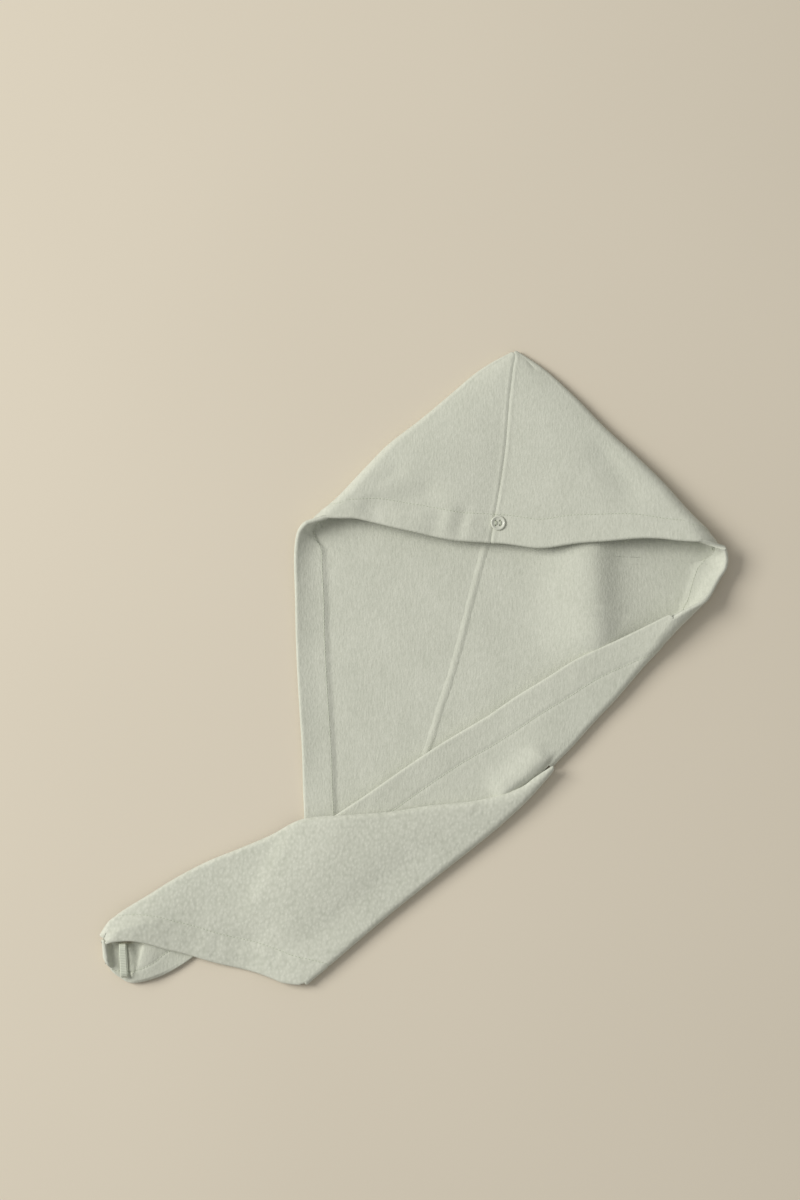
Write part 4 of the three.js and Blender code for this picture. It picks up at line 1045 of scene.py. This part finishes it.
def button_sewing():
    """The thread: four wraps over each pair of holes, and a wound shank under the button."""
    parts = []
    for side in (-1, 1):
        for k in range(4):
            x = side * HOLE_SPACING / 2 + (k - 1.5) * 0.36
            half = HOLE_SPACING / 2
            rise = 0.32 + 0.12 * (k % 2)
            path = [(x, -half, -0.9), (x, -half, 1.7), (x, -half * 0.8, 2.05 + rise), (x, 0, 2.2 + rise)]
            path += [(x, half * 0.8, 2.05 + rise), (x, half, 1.7), (x, half, -0.9)]
            parts.append(tube(path, [0.2] * 7, 8))
    turns = np.linspace(0, 10 * math.pi, 100)
    wound = np.stack([2.2 * np.cos(turns), 2.2 * np.sin(turns), -0.95 + 0.08 * turns / math.pi], axis=1)
    parts.append(tube(wound, np.full(100, 0.2), 8))
    core, core_faces = lathe([(2.0, -1.1), (2.2, -0.8), (2.2, -0.3), (2.0, -0.05)], 24)
    parts.append((core, core_faces))
    made = object_from("button_sewing", *joined(parts), thread)
    made.location = Vector(BUTTON) * MM
    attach(made, "root")
    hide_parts("button_thread")


sewn_button()
button_sewing()

LOOP_LENGTH = 34
LOOP_HEIGHT = 11
LOOP_WIDTH = 7
LOOP_THICKNESS = 1.4


def elastic_loop():
    """The loop at the tip: a woven band that stands on its edge, bent into a long ring."""
    middle_radius = (LOOP_HEIGHT - LOOP_THICKNESS) / 2
    straight = LOOP_LENGTH / 2 - LOOP_HEIGHT / 2
    bottom = [(x, -middle_radius) for x in np.linspace(-straight, straight, 24)]
    turns = np.linspace(-math.pi / 2, math.pi / 2, 18)[1:-1]
    right = [(straight + middle_radius * math.cos(t), middle_radius * math.sin(t)) for t in turns]
    top = [(-x, -z) for x, z in bottom]
    left = [(-x, -z) for x, z in right]
    path = np.array(bottom + right + top + left)
    before, after = np.roll(path, 1, axis=0), np.roll(path, -1, axis=0)
    run = (after - before) / np.linalg.norm(after - before, axis=1)[:, None]
    out = np.stack([run[:, 1], -run[:, 0]], axis=1)
    half_width = LOOP_WIDTH / 2
    columns = np.linspace(-1, 1, 15)
    cords = 0.12 * np.cos(columns * 6 * math.pi)
    rim = np.sqrt(np.clip(1 - (np.abs(columns) - 0.86).clip(0) ** 2 / 0.14**2, 0.05, 1))
    profile = [(c * half_width, (LOOP_THICKNESS / 2 + h - 0.12) * r) for c, h, r in zip(columns, cords, rim)]
    profile += [(c, -t) for c, t in reversed(profile)]
    vertices, uv = [], []
    at = np.append(0, np.cumsum(np.linalg.norm(np.diff(path, axis=0), axis=1)))
    for (x, z), (ox, oz), along in zip(path, out, at):
        for across, depth in profile:
            vertices.append((x + ox * depth, across, z + oz * depth))
            uv.append((along, across))
    size, count = len(profile), len(path)
    faces = []
    for i in range(count):
        for k in range(size):
            a, b = i * size + k, i * size + (k + 1) % size
            c, d = ((i + 1) % count) * size + (k + 1) % size, ((i + 1) % count) * size + k
            faces.append((a, d, c, b))
    turn = math.radians(94)
    vertices = np.array(vertices)
    x, y = vertices[:, 0].copy(), vertices[:, 1].copy()
    vertices[:, 0] = x * math.cos(turn) - y * math.sin(turn)
    vertices[:, 1] = x * math.sin(turn) + y * math.cos(turn)
    place = plan(4.0, 4.2)
    place[2] = level(0.9) + CLOTH / 2 + 0.35 + LOOP_HEIGHT / 2
    made = object_from("elastic_loop", vertices + place, faces, elastic, np.array(uv))
    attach(made, "root")
    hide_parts("loop")


elastic_loop()

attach(left_panel, "root")
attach(right_panel, "root")
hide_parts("left_panel")
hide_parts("right_panel")


def paper_finish():
    material, tree, shader, bump = finish("paper floor", 0.92)
    place = tree.nodes.new("ShaderNodeTexCoord").outputs["Object"]
    tone = noise_node(tree, scaled(tree, place, 420, 420, 420), 1)
    tree.links.new(blended(tree, tone, lit_colour(211, 202, 184), lit_colour(217, 208, 190)), shader.inputs["Base Color"])
    tree.links.new(noise_node(tree, scaled(tree, place, 1.2, 1.2, 1.2), 2), bump.inputs["Height"])
    bump.inputs["Strength"].default_value = 0.1
    bump.inputs["Distance"].default_value = 0.0001
    return material


def floor():
    made = bpy.data.meshes.new("floor")
    half = 6.0
    made.from_pydata([(-half, -half, 0), (half, -half, 0), (half, half, 0), (-half, half, 0)], [], [(0, 1, 2, 3)])
    made.materials.append(paper_finish())
    placed = bpy.data.objects.new("floor", made)
    placed.location.z = -0.0002
    bpy.context.scene.collection.objects.link(placed)
    return placed


floor()


def area_light(name, place, target, size, power, colour):
    light = bpy.data.lights.new(name, "AREA")
    light.size = size
    light.energy = power
    light.color = colour
    lamp = bpy.data.objects.new(name, light)
    lamp.location = place
    lamp.rotation_euler = (Vector(target) - Vector(place)).to_track_quat("-Z", "Y").to_euler()
    bpy.context.scene.collection.objects.link(lamp)


area_light("window", (-3.8, 1.1, 2.9), (0, 0, 0), 2.4, 226, (1.0, 0.985, 0.955))

world = bpy.data.worlds.new("room")
world.use_nodes = True
world.node_tree.nodes["Background"].inputs["Color"].default_value = (1.0, 0.99, 0.97, 1)
world.node_tree.nodes["Background"].inputs["Strength"].default_value = 0.40
bpy.context.scene.world = world
bpy.context.scene.view_settings.view_transform = "Standard"

camera_data = bpy.data.cameras.new("camera")
camera_data.sensor_fit = "VERTICAL"
camera_data.sensor_height = 36
camera_data.lens = 72
camera = bpy.data.objects.new("camera", camera_data)
CAMERA_DISTANCE = 2.4
CAMERA_TILT = math.radians(4)
aim = Vector((-0.0155, 0.065, 0.005))
camera.location = aim + Vector((0, -math.sin(CAMERA_TILT), math.cos(CAMERA_TILT))) * CAMERA_DISTANCE
camera.rotation_euler = (CAMERA_TILT, 0, 0)
bpy.context.scene.collection.objects.link(camera)
bpy.context.scene.camera = camera
